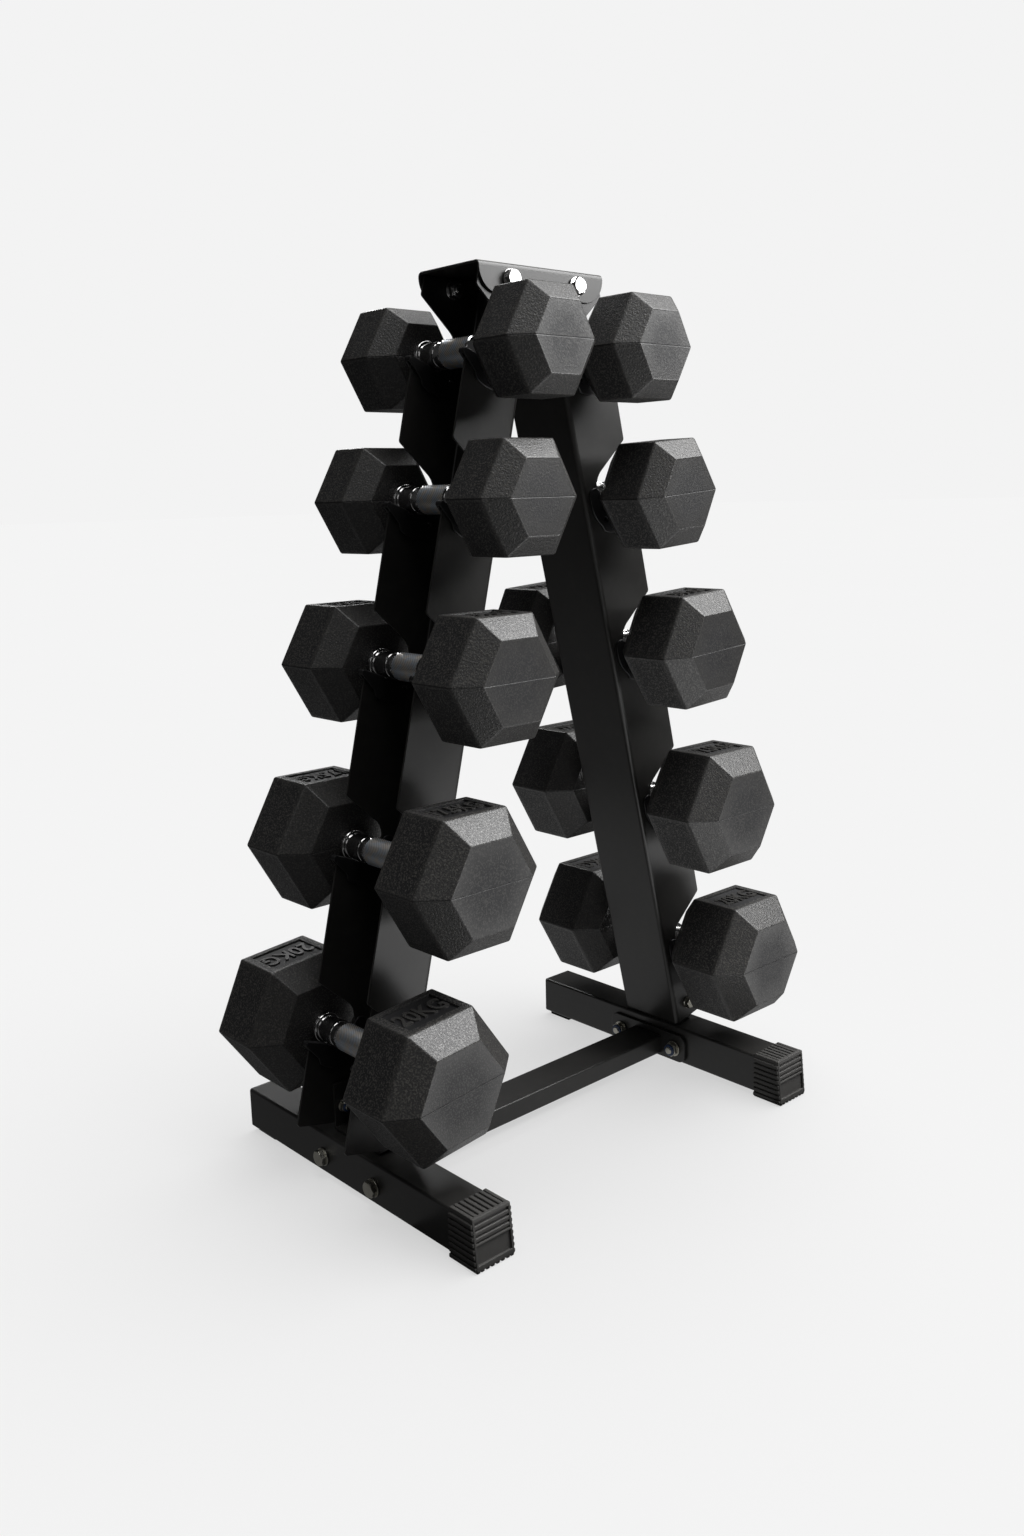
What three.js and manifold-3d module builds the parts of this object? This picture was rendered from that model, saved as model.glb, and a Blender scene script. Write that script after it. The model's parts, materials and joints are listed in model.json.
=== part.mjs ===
// A-frame dumbbell rack with five pairs of rubber-covered hex dumbbells.
// Millimetres. +X runs along the crossbar, +Y to the back, +Z up; the floor is z = 0.
import * as THREE from "three";
import { mergeVertices } from "three/addons/utils/BufferGeometryUtils.js";
import Module from "manifold-3d";

const wasm = await Module();
wasm.setup();

// ---- driving dimensions ----
// The assembly is drawn about the uprights' mid-plane; the frame origin is the middle of the footprint.
const FRAME_SHIFT_Y = 7.8;
const GAP = 0.4; // clearance between parts that touch

// Base tubes: square steel tube, front to back
const TUBE_SIZE = 50;
const TUBE_WALL = 2.5;
const TUBE_OUTER_X = 282;
const TUBE_BOTTOM = 6;
const TUBE_TOP = TUBE_BOTTOM + TUBE_SIZE;
const TUBE_FRONT = -205;
const TUBE_BACK = 204;
const HEEL_LENGTH = 42; // welded foot under the back end, levels the tube with the front cap
const HEEL_INSET = 7;
const TUBE_END_PLATE = 4; // closes the back end

// Ribbed rubber caps on the front ends of the base tubes
const CAP_SIDE = 2.8; // rubber beyond the tube's faces
const CAP_REAR = -177;
const CAP_FRONT_TOP = -213.6;
const CAP_FRONT_BOTTOM = -219.6;
const CAP_RIB_PITCH = 7;
const CAP_GROOVE = 2.6;
const CAP_GROOVE_DEPTH = 1.5;
const CAP_FRAME = 2.6; // plain border between the grooves and the front edge
const CAP_PANEL_LOW = 8;
const CAP_PANEL_HIGH = 28;
const CAP_PANEL_DEPTH = 1.6;
const CAP_CROSS_GROOVES = [34.5, 41.5, 48.5, 55]; // heights of the grooves across the front
const CAP_CROSS_GROOVE = 2.4;

// Crossbar: flat rectangular tube with a welded plate at each end
const CROSSBAR_WIDTH = 50;
const CROSSBAR_HEIGHT = 25;
const CROSSBAR_BOTTOM = 12;
const CROSSBAR_WALL = 2;
const END_PLATE_THICKNESS = 4;
const END_PLATE_LENGTH = 132;
const END_PLATE_BOTTOM = 8;
const END_PLATE_TOP = 46;
const END_PLATE_RADIUS = 11;

// Uprights: folded channels, open side outward, leaning together
const LEAN = THREE.MathUtils.degToRad(13.8);
const FOOT_X = 236.4; // outer face of the web at the top of the base tube
const FOOT_Z = TUBE_TOP + GAP;
const CHANNEL_WIDTH = 93;
const CHANNEL_DEPTH = 83.4;
const SHEET = 2.5;
const BEND_RADIUS = 5;
const UPRIGHT_TOP = 1004;
const HANDLE_DEPTH = 51; // handle axis from the face of the web
const TIER_ALONG = [109, 321, 530, 716, 877]; // handle axes measured up the channel

// Cradle notch in both flanges, drawn about the handle axis (depth outward, along the channel)
const SEAT_RADIUS = 26;
const THROAT_RADIUS = 22;
const THROAT_ALONG = 12.6;
const THROAT_SLOPE = THREE.MathUtils.degToRad(28.5);
const LIP_ALONG = -16;
const PEG_HOLE = { depth: -24, along: -23, radius: 3 };

// Plastic saddles: a clip on each flange lines the notch and carries the handle,
// and a strap behind the handle joins the two clips
const SADDLE_BORE = 16.4;
const SADDLE_WEB_RADIUS = SEAT_RADIUS - GAP;
const SADDLE_CHEEK_RADIUS = 42.5;
const SADDLE_CHEEK = 2.5;
const SADDLE_LIP_ANGLE = THREE.MathUtils.degToRad(-54);
const STRAP_INNER_RADIUS = 17.2;
const STRAP_FROM = THREE.MathUtils.degToRad(168);
const STRAP_TO = THREE.MathUtils.degToRad(198);
const SADDLE_TIP = { depth: 35.5, along: -13.1, radius: 3.5 };
const SADDLE_ARM = { depth: -34, along: 8, radius: 8.5 };

// Top bracket: folded saddle plate over both uprights
const BRACKET_HALF_LENGTH = 94;
const BRACKET_TOP = 1008;
const BRACKET_BOTTOM = 975.5;
const BRACKET_SHEET = 3;
const BRACKET_CORNER = 32;

// Foot brackets: folded U welded to the base tube, inside the channel
const TAB_SHEET = 4;
const TAB_INNER_X = 243;
const TAB_OUTER_X = 268;
const TAB_TOP = 112;

// Fasteners
const CLEARANCE = 0.5; // radial clearance of every bolt hole
const BOLT_RADIUS = 5;
const HEX_ACROSS = 17;
const HEX_HEIGHT = 6.6;
const NUT_HEIGHT = 9;
const WASHER_RADIUS = 10.5;
const WASHER_HEIGHT = 2;
const BASE_BOLT = { y: 47.5, z: 26 };
const TOP_BOLT = { x: 50, z: 991.5 };
const FOOT_BOLT = { x: 256, z: 84.5, radius: 4, across: 13, head: 5.5, washer: 8 };

// Dumbbells, from the bottom pair to the top pair
const DUMBBELLS = [
  { across: 150, prism: 66, chamfer: 25, rubber: 12.8 },
  { across: 147, prism: 63, chamfer: 24, rubber: 14.1 },
  { across: 132, prism: 60, chamfer: 21, rubber: 10.4 },
  { across: 118, prism: 53, chamfer: 20, rubber: 6.9 },
  { across: 110, prism: 49, chamfer: 20, rubber: 7.6 },
];
const GRIP_HALF = 64.3; // inner face of a head from the middle of the handle
const HEAD_SHOULDER = 89.3; // where the inner chamfer reaches full size
const HEAD_FACE_RATIO = 0.66; // end face compared with the full hexagon
const HANDLE_RADIUS = 16;
const COLLAR_RADIUS = 18;
const COLLAR_LENGTH = 6.5;

const ARC = 7; // segments in a half-turn of the small profiles

// ---- materials ----
const COATED_STEEL = { color: 0x17171a, roughness: 0.42, metalness: 0.55 };
const RUBBER = { color: 0x232325, roughness: 0.82, metalness: 0 };
const SADDLE_PLASTIC = { color: 0x0e0e10, roughness: 0.5, metalness: 0 };
const CHROME = { color: 0xc9ccd1, roughness: 0.14, metalness: 1 };
const ZINC = { color: 0xb6b4ab, roughness: 0.32, metalness: 1 };

// ---- helpers ----
const group = new THREE.Group();
group.name = "dumbbell_rack";

// Turn a closed three.js geometry into a solid that can be joined and cut.
function solid(geometry) {
  const bare = new THREE.BufferGeometry();
  const flat = geometry.index ? geometry.toNonIndexed() : geometry;
  bare.setAttribute("position", flat.getAttribute("position"));
  const merged = mergeVertices(bare, 1e-4);
  const mesh = new wasm.Mesh({
    numProp: 3,
    vertProperties: new Float32Array(merged.attributes.position.array),
    triVerts: new Uint32Array(merged.index.array),
  });
  return new wasm.Manifold(mesh);
}

function addPart(name, body, finish) {
  const mesh = body.getMesh();
  const indexed = new THREE.BufferGeometry();
  indexed.setAttribute("position", new THREE.BufferAttribute(new Float32Array(mesh.vertProperties), 3));
  indexed.setIndex(new THREE.BufferAttribute(new Uint32Array(mesh.triVerts), 1));
  indexed.translate(0, FRAME_SHIFT_Y, 0);
  const geometry = indexed.toNonIndexed(); // flat faces
  geometry.computeVertexNormals();
  const part = new THREE.Mesh(geometry, new THREE.MeshStandardMaterial(finish));
  part.name = name;
  group.add(part);
}

function join(solids) {
  return wasm.Manifold.union(solids);
}

function box(x0, x1, y0, y1, z0, z1) {
  const geometry = new THREE.BoxGeometry(Math.abs(x1 - x0), y1 - y0, z1 - z0);
  geometry.translate((x0 + x1) / 2, (y0 + y1) / 2, (z0 + z1) / 2);
  return geometry;
}

// A shape drawn in (x, z), carried from y0 to y1.
function prismAlongY(shape, y0, y1, segments = ARC) {
  const geometry = new THREE.ExtrudeGeometry(shape, {
    depth: y1 - y0,
    bevelEnabled: false,
    curveSegments: segments,
  });
  geometry.rotateX(Math.PI / 2);
  geometry.translate(0, y1, 0);
  return geometry;
}

// A shape drawn in (y, z), carried from x0 to x1.
function prismAlongX(shape, x0, x1, segments = ARC) {
  const geometry = new THREE.ExtrudeGeometry(shape, {
    depth: x1 - x0,
    bevelEnabled: false,
    curveSegments: segments,
  });
  geometry.rotateX(Math.PI / 2);
  geometry.rotateZ(Math.PI / 2);
  geometry.translate(x0, 0, 0);
  return geometry;
}

// A cylinder along X or Y between two stations; sides = 6 gives a hexagon with flats up.
function rod(axis, from, to, radius, at, sides = 12) {
  const geometry = new THREE.CylinderGeometry(radius, radius, to - from, sides);
  if (sides === 6) geometry.rotateY(axis === "Y" ? Math.PI / 6 : 0);
  geometry.translate(0, (from + to) / 2, 0);
  if (axis === "X") geometry.rotateZ(-Math.PI / 2);
  geometry.translate(at.x ?? 0, at.y ?? 0, at.z ?? 0);
  return geometry;
}

function roundedRect(u0, u1, v0, v1, radius) {
  const shape = new THREE.Shape();
  shape.moveTo(u0 + radius, v0);
  shape.lineTo(u1 - radius, v0);
  shape.absarc(u1 - radius, v0 + radius, radius, -Math.PI / 2, 0);
  shape.lineTo(u1, v1 - radius);
  shape.absarc(u1 - radius, v1 - radius, radius, 0, Math.PI / 2);
  shape.lineTo(u0 + radius, v1);
  shape.absarc(u0 + radius, v1 - radius, radius, Math.PI / 2, Math.PI);
  shape.lineTo(u0, v0 + radius);
  shape.absarc(u0 + radius, v0 + radius, radius, Math.PI, Math.PI * 1.5);
  shape.closePath();
  return shape;
}

// Move a piece drawn as (depth, y, along) into place on the right (side 1) or left (side -1) upright.
function onUpright(geometry, side) {
  geometry.rotateY(-side * LEAN);
  geometry.translate(side * FOOT_X, 0, FOOT_Z);
  return geometry;
}

// Mirror a shape drawn for the right-hand side.
function sided(points, side, depth = 0, along = 0) {
  const placed = points.map((p) => new THREE.Vector2(side * (p.x + depth), p.y + along));
  return new THREE.Shape(placed);
}

// Points on an arc about (cx, cy), from angle a0 to a1.
function arc(cx, cy, radius, a0, a1, steps = ARC) {
  const curve = new THREE.EllipseCurve(cx, cy, radius, radius, a0, a1, a1 < a0);
  return curve.getPoints(steps);
}

function handleCentre(side, tier) {
  const along = TIER_ALONG[tier];
  const x = FOOT_X + HANDLE_DEPTH * Math.cos(LEAN) - along * Math.sin(LEAN);
  const z = FOOT_Z + HANDLE_DEPTH * Math.sin(LEAN) + along * Math.cos(LEAN);
  return { x: side * x, z };
}

// ---- profiles, drawn about the handle axis ----
function notchPoints() {
  const open = 40;
  const lipAngle = Math.asin(LIP_ALONG / SEAT_RADIUS);
  const throatX = THROAT_RADIUS - SEAT_RADIUS;
  const meet = Math.PI / 2 + THROAT_SLOPE;
  const top = arc(throatX, THROAT_ALONG, THROAT_RADIUS, Math.PI, meet, 3);
  const last = top[top.length - 1];
  return [
    new THREE.Vector2(open, LIP_ALONG),
    ...arc(0, 0, SEAT_RADIUS, lipAngle, -Math.PI, 8),
    ...top,
    new THREE.Vector2(open, last.y + (open - last.x) * Math.tan(THROAT_SLOPE)),
  ];
}

function saddleSeat() {
  return arc(0, 0, SADDLE_BORE, -Math.PI, SADDLE_LIP_ANGLE, 6);
}

function saddleTip() {
  return arc(SADDLE_TIP.depth, SADDLE_TIP.along, SADDLE_TIP.radius, Math.PI / 2, -Math.PI / 4, 2);
}

// Part of a clip that passes through its notch.
function saddleCorePoints() {
  const under = LIP_ALONG + GAP;
  const lipAngle = Math.asin(under / SADDLE_WEB_RADIUS);
  return [
    ...saddleSeat(),
    ...saddleTip(),
    new THREE.Vector2(SADDLE_TIP.depth, under),
    ...arc(0, 0, SADDLE_WEB_RADIUS, lipAngle, -Math.PI, 7),
    new THREE.Vector2(-SADDLE_WEB_RADIUS, 6),
  ];
}

// Strap between the clips, on the web's side of the handle.
function saddleStrapPoints() {
  return [
    ...arc(0, 0, SADDLE_WEB_RADIUS, STRAP_FROM, STRAP_TO, 1),
    ...arc(0, 0, STRAP_INNER_RADIUS, STRAP_TO, STRAP_FROM, 1),
  ];
}

// Cheek that overlaps a flange face around the notch.
function saddleCheekPoints() {
  const belly = arc(-6, 0, SADDLE_CHEEK_RADIUS, -Math.PI * 0.33, -Math.PI * 0.68, 3);
  const flank = arc(0, 0, SADDLE_CHEEK_RADIUS, -Math.PI * 0.77, -Math.PI, 2);
  const arm = arc(SADDLE_ARM.depth, SADDLE_ARM.along, SADDLE_ARM.radius, Math.PI, 0, 3);
  return [
    ...saddleSeat(),
    ...saddleTip(),
    new THREE.Vector2(18.7, -30.5),
    ...belly,
    ...flank,
    ...arm,
    new THREE.Vector2(-SADDLE_BORE - 1, 2.5),
  ];
}

function dropRepeats(points) {
  return points.filter((p, i) => i === 0 || p.distanceTo(points[i - 1]) > 0.05);
}

// ---- base ----
function baseRail(side) {
  const xIn = side * (TUBE_OUTER_X - TUBE_SIZE);
  const xOut = side * TUBE_OUTER_X;
  const inset = side * TUBE_WALL;
  const heelIn = xIn + side * HEEL_INSET;
  const heelOut = xOut - side * HEEL_INSET;
  const bored = TUBE_BACK - TUBE_END_PLATE;
  const half = CHANNEL_WIDTH / 2 - SHEET - GAP;
  const steel = [
    solid(box(xIn, xOut, TUBE_FRONT, TUBE_BACK, TUBE_BOTTOM, TUBE_TOP)),
    solid(box(heelIn, heelOut, TUBE_BACK - HEEL_LENGTH, bored, 0, TUBE_BOTTOM + 1)),
    solid(box(side * TAB_INNER_X, side * TAB_OUTER_X, -half, half, TUBE_TOP - 1, TUBE_TOP + TAB_SHEET)),
    solid(box(side * TAB_INNER_X, side * TAB_OUTER_X, -half, -half + TAB_SHEET, TUBE_TOP - 1, TAB_TOP)),
    solid(box(side * TAB_INNER_X, side * TAB_OUTER_X, half - TAB_SHEET, half, TUBE_TOP - 1, TAB_TOP)),
  ];
  let rail = join(steel);
  const floorOfBore = TUBE_BOTTOM + TUBE_WALL;
  const roofOfBore = TUBE_TOP - TUBE_WALL;
  const bore = box(xIn + inset, xOut - inset, TUBE_FRONT - 5, bored, floorOfBore, roofOfBore);
  rail = rail.subtract(solid(bore));
  for (const end of [-1, 1]) {
    const at = { y: end * BASE_BOLT.y, z: BASE_BOLT.z };
    const [from, to] = side > 0 ? [xIn - 5, xOut + 5] : [xOut - 5, xIn + 5];
    rail = rail.subtract(solid(rod("X", from, to, BOLT_RADIUS + CLEARANCE, at)));
  }
  const foot = { x: side * FOOT_BOLT.x, z: FOOT_BOLT.z };
  return rail.subtract(solid(rod("Y", -60, 60, FOOT_BOLT.radius + CLEARANCE, foot)));
}

function crossbar() {
  const inner = TUBE_OUTER_X - TUBE_SIZE - GAP;
  const plate = roundedRect(
    -END_PLATE_LENGTH / 2, END_PLATE_LENGTH / 2, END_PLATE_BOTTOM, END_PLATE_TOP, END_PLATE_RADIUS);
  const reach = inner - END_PLATE_THICKNESS + 0.5;
  const z0 = CROSSBAR_BOTTOM;
  const z1 = CROSSBAR_BOTTOM + CROSSBAR_HEIGHT;
  let bar = join([
    solid(box(-reach, reach, -CROSSBAR_WIDTH / 2, CROSSBAR_WIDTH / 2, z0, z1)),
    solid(prismAlongX(plate, inner - END_PLATE_THICKNESS, inner, 4)),
    solid(prismAlongX(plate, -inner, -inner + END_PLATE_THICKNESS, 4)),
  ]);
  const w = CROSSBAR_WIDTH / 2 - CROSSBAR_WALL;
  bar = bar.subtract(solid(box(-inner - 5, inner + 5, -w, w, z0 + CROSSBAR_WALL, z1 - CROSSBAR_WALL)));
  for (const side of [-1, 1]) {
    for (const end of [-1, 1]) {
      const at = { x: side * inner, y: end * BASE_BOLT.y, z: BASE_BOLT.z };
      bar = bar.subtract(solid(rod("X", -10, 10, BOLT_RADIUS + CLEARANCE, at)));
    }
  }
  return bar;
}

function frontCap(side) {
  const centre = side * (TUBE_OUTER_X - TUBE_SIZE / 2);
  const half = TUBE_SIZE / 2 + CAP_SIDE;
  const top = TUBE_TOP + CAP_SIDE;
  const profile = new THREE.Shape([
    new THREE.Vector2(CAP_REAR, 0),
    new THREE.Vector2(CAP_REAR, top),
    new THREE.Vector2(CAP_FRONT_TOP, top),
    new THREE.Vector2(CAP_FRONT_BOTTOM, 0),
  ]);
  let cap = solid(prismAlongX(profile, centre - half, centre + half));
  const fit = TUBE_SIZE / 2 + GAP / 2;
  const under = TUBE_BOTTOM - GAP / 2;
  const over = TUBE_TOP + GAP / 2;
  const cuts = [solid(box(centre - fit, centre + fit, TUBE_FRONT - GAP, 0, under, over))];
  const slope = (CAP_FRONT_TOP - CAP_FRONT_BOTTOM) / top;
  const frontAt = (z) => CAP_FRONT_BOTTOM + slope * z;
  const g = CAP_GROOVE / 2;
  const border = CAP_FRONT_TOP + CAP_FRAME;
  for (let i = -3; i <= 3; i++) {
    const x = centre + i * CAP_RIB_PITCH;
    cuts.push(solid(box(x - g, x + g, border, CAP_REAR + 5, top - CAP_GROOVE_DEPTH, top + 5)));
    cuts.push(solid(box(x - g, x + g, CAP_FRONT_BOTTOM - 5, CAP_REAR + 5, -5, CAP_GROOVE_DEPTH)));
    const z = TUBE_BOTTOM + (i + 4) * CAP_RIB_PITCH - 6;
    for (const face of [-1, 1]) {
      const x0 = centre + face * (half - CAP_GROOVE_DEPTH);
      cuts.push(solid(box(x0, x0 + face * 5, frontAt(z) + CAP_FRAME, CAP_REAR + 5, z - g, z + g)));
    }
  }
  const reach = half - CAP_FRAME;
  const c = CAP_CROSS_GROOVE / 2;
  for (const z of CAP_CROSS_GROOVES) {
    const y = frontAt(z);
    cuts.push(solid(box(centre - reach, centre + reach, y - 5, y + CAP_GROOVE_DEPTH, z - c, z + c)));
  }
  const panel = frontAt(CAP_PANEL_LOW) + CAP_PANEL_DEPTH;
  const inset = half - CAP_FRAME - 0.6;
  cuts.push(solid(box(centre - inset, centre + inset, panel - 9, panel, CAP_PANEL_LOW, CAP_PANEL_HIGH)));
  return cap.subtract(join(cuts));
}

// ---- uprights and top bracket ----
function upright(side) {
  const w = CHANNEL_WIDTH / 2;
  const r = BEND_RADIUS;
  const t = SHEET;
  const section = dropRepeats([
    new THREE.Vector2(CHANNEL_DEPTH, -w),
    ...arc(r, -w + r, r, -Math.PI / 2, -Math.PI, 2),
    ...arc(r, w - r, r, Math.PI, Math.PI / 2, 2),
    new THREE.Vector2(CHANNEL_DEPTH, w),
    new THREE.Vector2(CHANNEL_DEPTH, w - t),
    ...arc(r, w - r, r - t, Math.PI / 2, Math.PI, 2),
    ...arc(r, -w + r, r - t, Math.PI, Math.PI * 1.5, 2),
    new THREE.Vector2(CHANNEL_DEPTH, -w + t),
  ]);
  const channel = new THREE.ExtrudeGeometry(sided(section, side), {
    depth: 1010,
    bevelEnabled: false,
  });
  const cuts = [solid(box(-400, 400, -100, 100, UPRIGHT_TOP, UPRIGHT_TOP + 200))];
  const notch = dropRepeats(notchPoints());
  for (const along of TIER_ALONG) {
    const cutter = prismAlongY(sided(notch, side, HANDLE_DEPTH, along), -60, 60);
    cuts.push(solid(onUpright(cutter, side)));
    const peg = rod("Y", -60, 60, PEG_HOLE.radius, {
      x: side * (HANDLE_DEPTH + PEG_HOLE.depth),
      z: along + PEG_HOLE.along,
    }, 8);
    cuts.push(solid(onUpright(peg, side)));
  }
  const boltHole = (at, radius) => solid(rod("Y", -60, 60, radius + CLEARANCE, { x: side * at.x, z: at.z }));
  cuts.push(boltHole(TOP_BOLT, BOLT_RADIUS));
  cuts.push(boltHole(FOOT_BOLT, FOOT_BOLT.radius));
  return solid(onUpright(channel, side)).subtract(join(cuts));
}

function saddle(side, tier) {
  const along = TIER_ALONG[tier];
  const place = (points, y0, y1) => {
    const shape = sided(dropRepeats(points), side, HANDLE_DEPTH, along);
    return solid(onUpright(prismAlongY(shape, y0, y1), side));
  };
  const outer = CHANNEL_WIDTH / 2 + GAP;
  const inner = CHANNEL_WIDTH / 2 - SHEET - GAP;
  const cheek = saddleCheekPoints();
  const core = saddleCorePoints();
  const body = join([
    place(core, inner - SADDLE_CHEEK, outer + SADDLE_CHEEK),
    place(core, -outer - SADDLE_CHEEK, -inner + SADDLE_CHEEK),
    place(saddleStrapPoints(), -inner, inner),
    place(cheek, outer, outer + SADDLE_CHEEK),
    place(cheek, inner - SADDLE_CHEEK, inner),
    place(cheek, -inner, -inner + SADDLE_CHEEK),
    place(cheek, -outer - SADDLE_CHEEK, -outer),
  ]);
  const peg = rod("Y", -60, 60, PEG_HOLE.radius, {
    x: side * (HANDLE_DEPTH + PEG_HOLE.depth),
    z: along + PEG_HOLE.along,
  }, 6);
  return body.subtract(solid(onUpright(peg, side)));
}

function topBracket() {
  const flange = new THREE.Shape();
  const reach = BRACKET_HALF_LENGTH;
  const centreZ = BRACKET_BOTTOM + BRACKET_CORNER;
  flange.moveTo(-reach + BRACKET_CORNER, BRACKET_BOTTOM);
  flange.lineTo(reach - BRACKET_CORNER, BRACKET_BOTTOM);
  flange.absarc(reach - BRACKET_CORNER, centreZ, BRACKET_CORNER, -Math.PI / 2, 0);
  flange.lineTo(reach, BRACKET_TOP);
  flange.lineTo(-reach, BRACKET_TOP);
  flange.absarc(-reach + BRACKET_CORNER, centreZ, BRACKET_CORNER, Math.PI, Math.PI * 1.5);
  const y0 = CHANNEL_WIDTH / 2 + GAP;
  const y1 = y0 + BRACKET_SHEET;
  const r = BEND_RADIUS;
  const cover = new THREE.Shape();
  cover.moveTo(-y1, BRACKET_BOTTOM - 5);
  cover.lineTo(y1, BRACKET_BOTTOM - 5);
  cover.lineTo(y1, BRACKET_TOP - r);
  cover.absarc(y1 - r, BRACKET_TOP - r, r, 0, Math.PI / 2);
  cover.lineTo(-y1 + r, BRACKET_TOP);
  cover.absarc(-y1 + r, BRACKET_TOP - r, r, Math.PI / 2, Math.PI);
  const block = solid(prismAlongX(cover, -reach - 1, reach + 1, 4));
  const hollow = solid(box(-reach - 2, reach + 2, -y0, y0, BRACKET_BOTTOM - 9, BRACKET_TOP - BRACKET_SHEET));
  let bracket = solid(prismAlongY(flange, -y1, y1, 8)).intersect(block).subtract(hollow);
  for (const side of [-1, 1]) {
    const at = { x: side * TOP_BOLT.x, z: TOP_BOLT.z };
    bracket = bracket.subtract(solid(rod("Y", -60, 60, BOLT_RADIUS + CLEARANCE, at)));
  }
  return bracket;
}

// ---- fasteners: hex bolt, two washers and nut on one axis; the head is on the `from` side ----
function bolt(axis, headFace, nutFace, at, size) {
  const dir = Math.sign(nutFace - headFace);
  const span = (a, b, radius, sides) => solid(rod(axis, Math.min(a, b), Math.max(a, b), radius, at, sides));
  const headBase = headFace - dir * WASHER_HEIGHT;
  const nutBase = nutFace + dir * WASHER_HEIGHT;
  const nutEnd = nutBase + dir * size.nut;
  const across = size.across / Math.sqrt(3);
  return join([
    span(headBase, headFace, size.washer, 12),
    span(headBase - dir * size.head, headBase, across, 6),
    span(headFace - dir * 0.5, nutEnd + dir * 1.5, size.radius, 8),
    span(nutFace, nutBase, size.washer, 12),
    span(nutBase, nutEnd, across, 6),
  ]);
}

const M10 = {
  radius: BOLT_RADIUS,
  across: HEX_ACROSS,
  head: HEX_HEIGHT,
  nut: NUT_HEIGHT,
  washer: WASHER_RADIUS,
};
const M8 = { ...FOOT_BOLT, nut: 7 };

// ---- dumbbells ----
// Hexagonal head with flats up, drawn from its inner face outward along +Y.
function hexHead(across, stations) {
  const positions = [];
  const ring = stations.map(({ y, ratio }) =>
    Array.from({ length: 6 }, (_, i) => {
      const a = (i * Math.PI) / 3;
      const r = (across / Math.sqrt(3)) * ratio;
      return [r * Math.cos(a), y, r * Math.sin(a)];
    }));
  const push = (...corners) => corners.forEach((c) => positions.push(...c));
  for (let s = 0; s + 1 < ring.length; s++) {
    for (let i = 0; i < 6; i++) {
      const j = (i + 1) % 6;
      push(ring[s][i], ring[s + 1][j], ring[s][j]);
      push(ring[s][i], ring[s + 1][i], ring[s + 1][j]);
    }
  }
  const end = ring.length - 1;
  for (let i = 1; i < 5; i++) {
    push(ring[0][0], ring[0][i], ring[0][i + 1]);
    push(ring[end][0], ring[end][i + 1], ring[end][i]);
  }
  const geometry = new THREE.BufferGeometry();
  geometry.setAttribute("position", new THREE.Float32BufferAttribute(positions, 3));
  return geometry;
}

function headStations(spec, shell) {
  const outer = HEAD_SHOULDER + spec.prism;
  return [
    { y: GRIP_HALF + shell, ratio: HEAD_FACE_RATIO },
    { y: HEAD_SHOULDER + shell / 3, ratio: 1 },
    { y: outer - shell / 3, ratio: 1 },
    { y: outer + spec.chamfer - shell, ratio: HEAD_FACE_RATIO },
  ];
}

function placedHead(spec, shell, end, centre) {
  const geometry = hexHead(spec.across - 2 * shell, headStations(spec, shell));
  if (end < 0) geometry.rotateZ(Math.PI);
  geometry.translate(centre.x, 0, centre.z);
  return solid(geometry);
}

function rubberCover(spec, end, centre) {
  const shell = placedHead(spec, 0, end, centre);
  const cavity = placedHead(spec, spec.rubber - GAP, end, centre);
  const [from, to] = end > 0 ? [GRIP_HALF - 5, GRIP_HALF + 30] : [-GRIP_HALF - 30, -GRIP_HALF + 5];
  const neck = rod("Y", from, to, COLLAR_RADIUS + 2 * GAP, centre, 16);
  return shell.subtract(cavity).subtract(solid(neck));
}

function handleAndCores(spec, centre) {
  const collarIn = GRIP_HALF - COLLAR_LENGTH;
  const profile = [
    [0, -HEAD_SHOULDER],
    [COLLAR_RADIUS, -HEAD_SHOULDER],
    [COLLAR_RADIUS, -collarIn],
    [HANDLE_RADIUS, -collarIn],
    [HANDLE_RADIUS, collarIn],
    [COLLAR_RADIUS, collarIn],
    [COLLAR_RADIUS, HEAD_SHOULDER],
    [0, HEAD_SHOULDER],
  ].map(([r, y]) => new THREE.Vector2(r, y));
  const bar = new THREE.LatheGeometry(profile, 16);
  bar.translate(centre.x, 0, centre.z);
  return join([
    solid(bar),
    placedHead(spec, spec.rubber, 1, centre),
    placedHead(spec, spec.rubber, -1, centre),
  ]);
}

// ---- assembly ----
const SIDES = [["left", -1], ["right", 1]];
const ENDS = [["front", -1], ["back", 1]];

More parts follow.
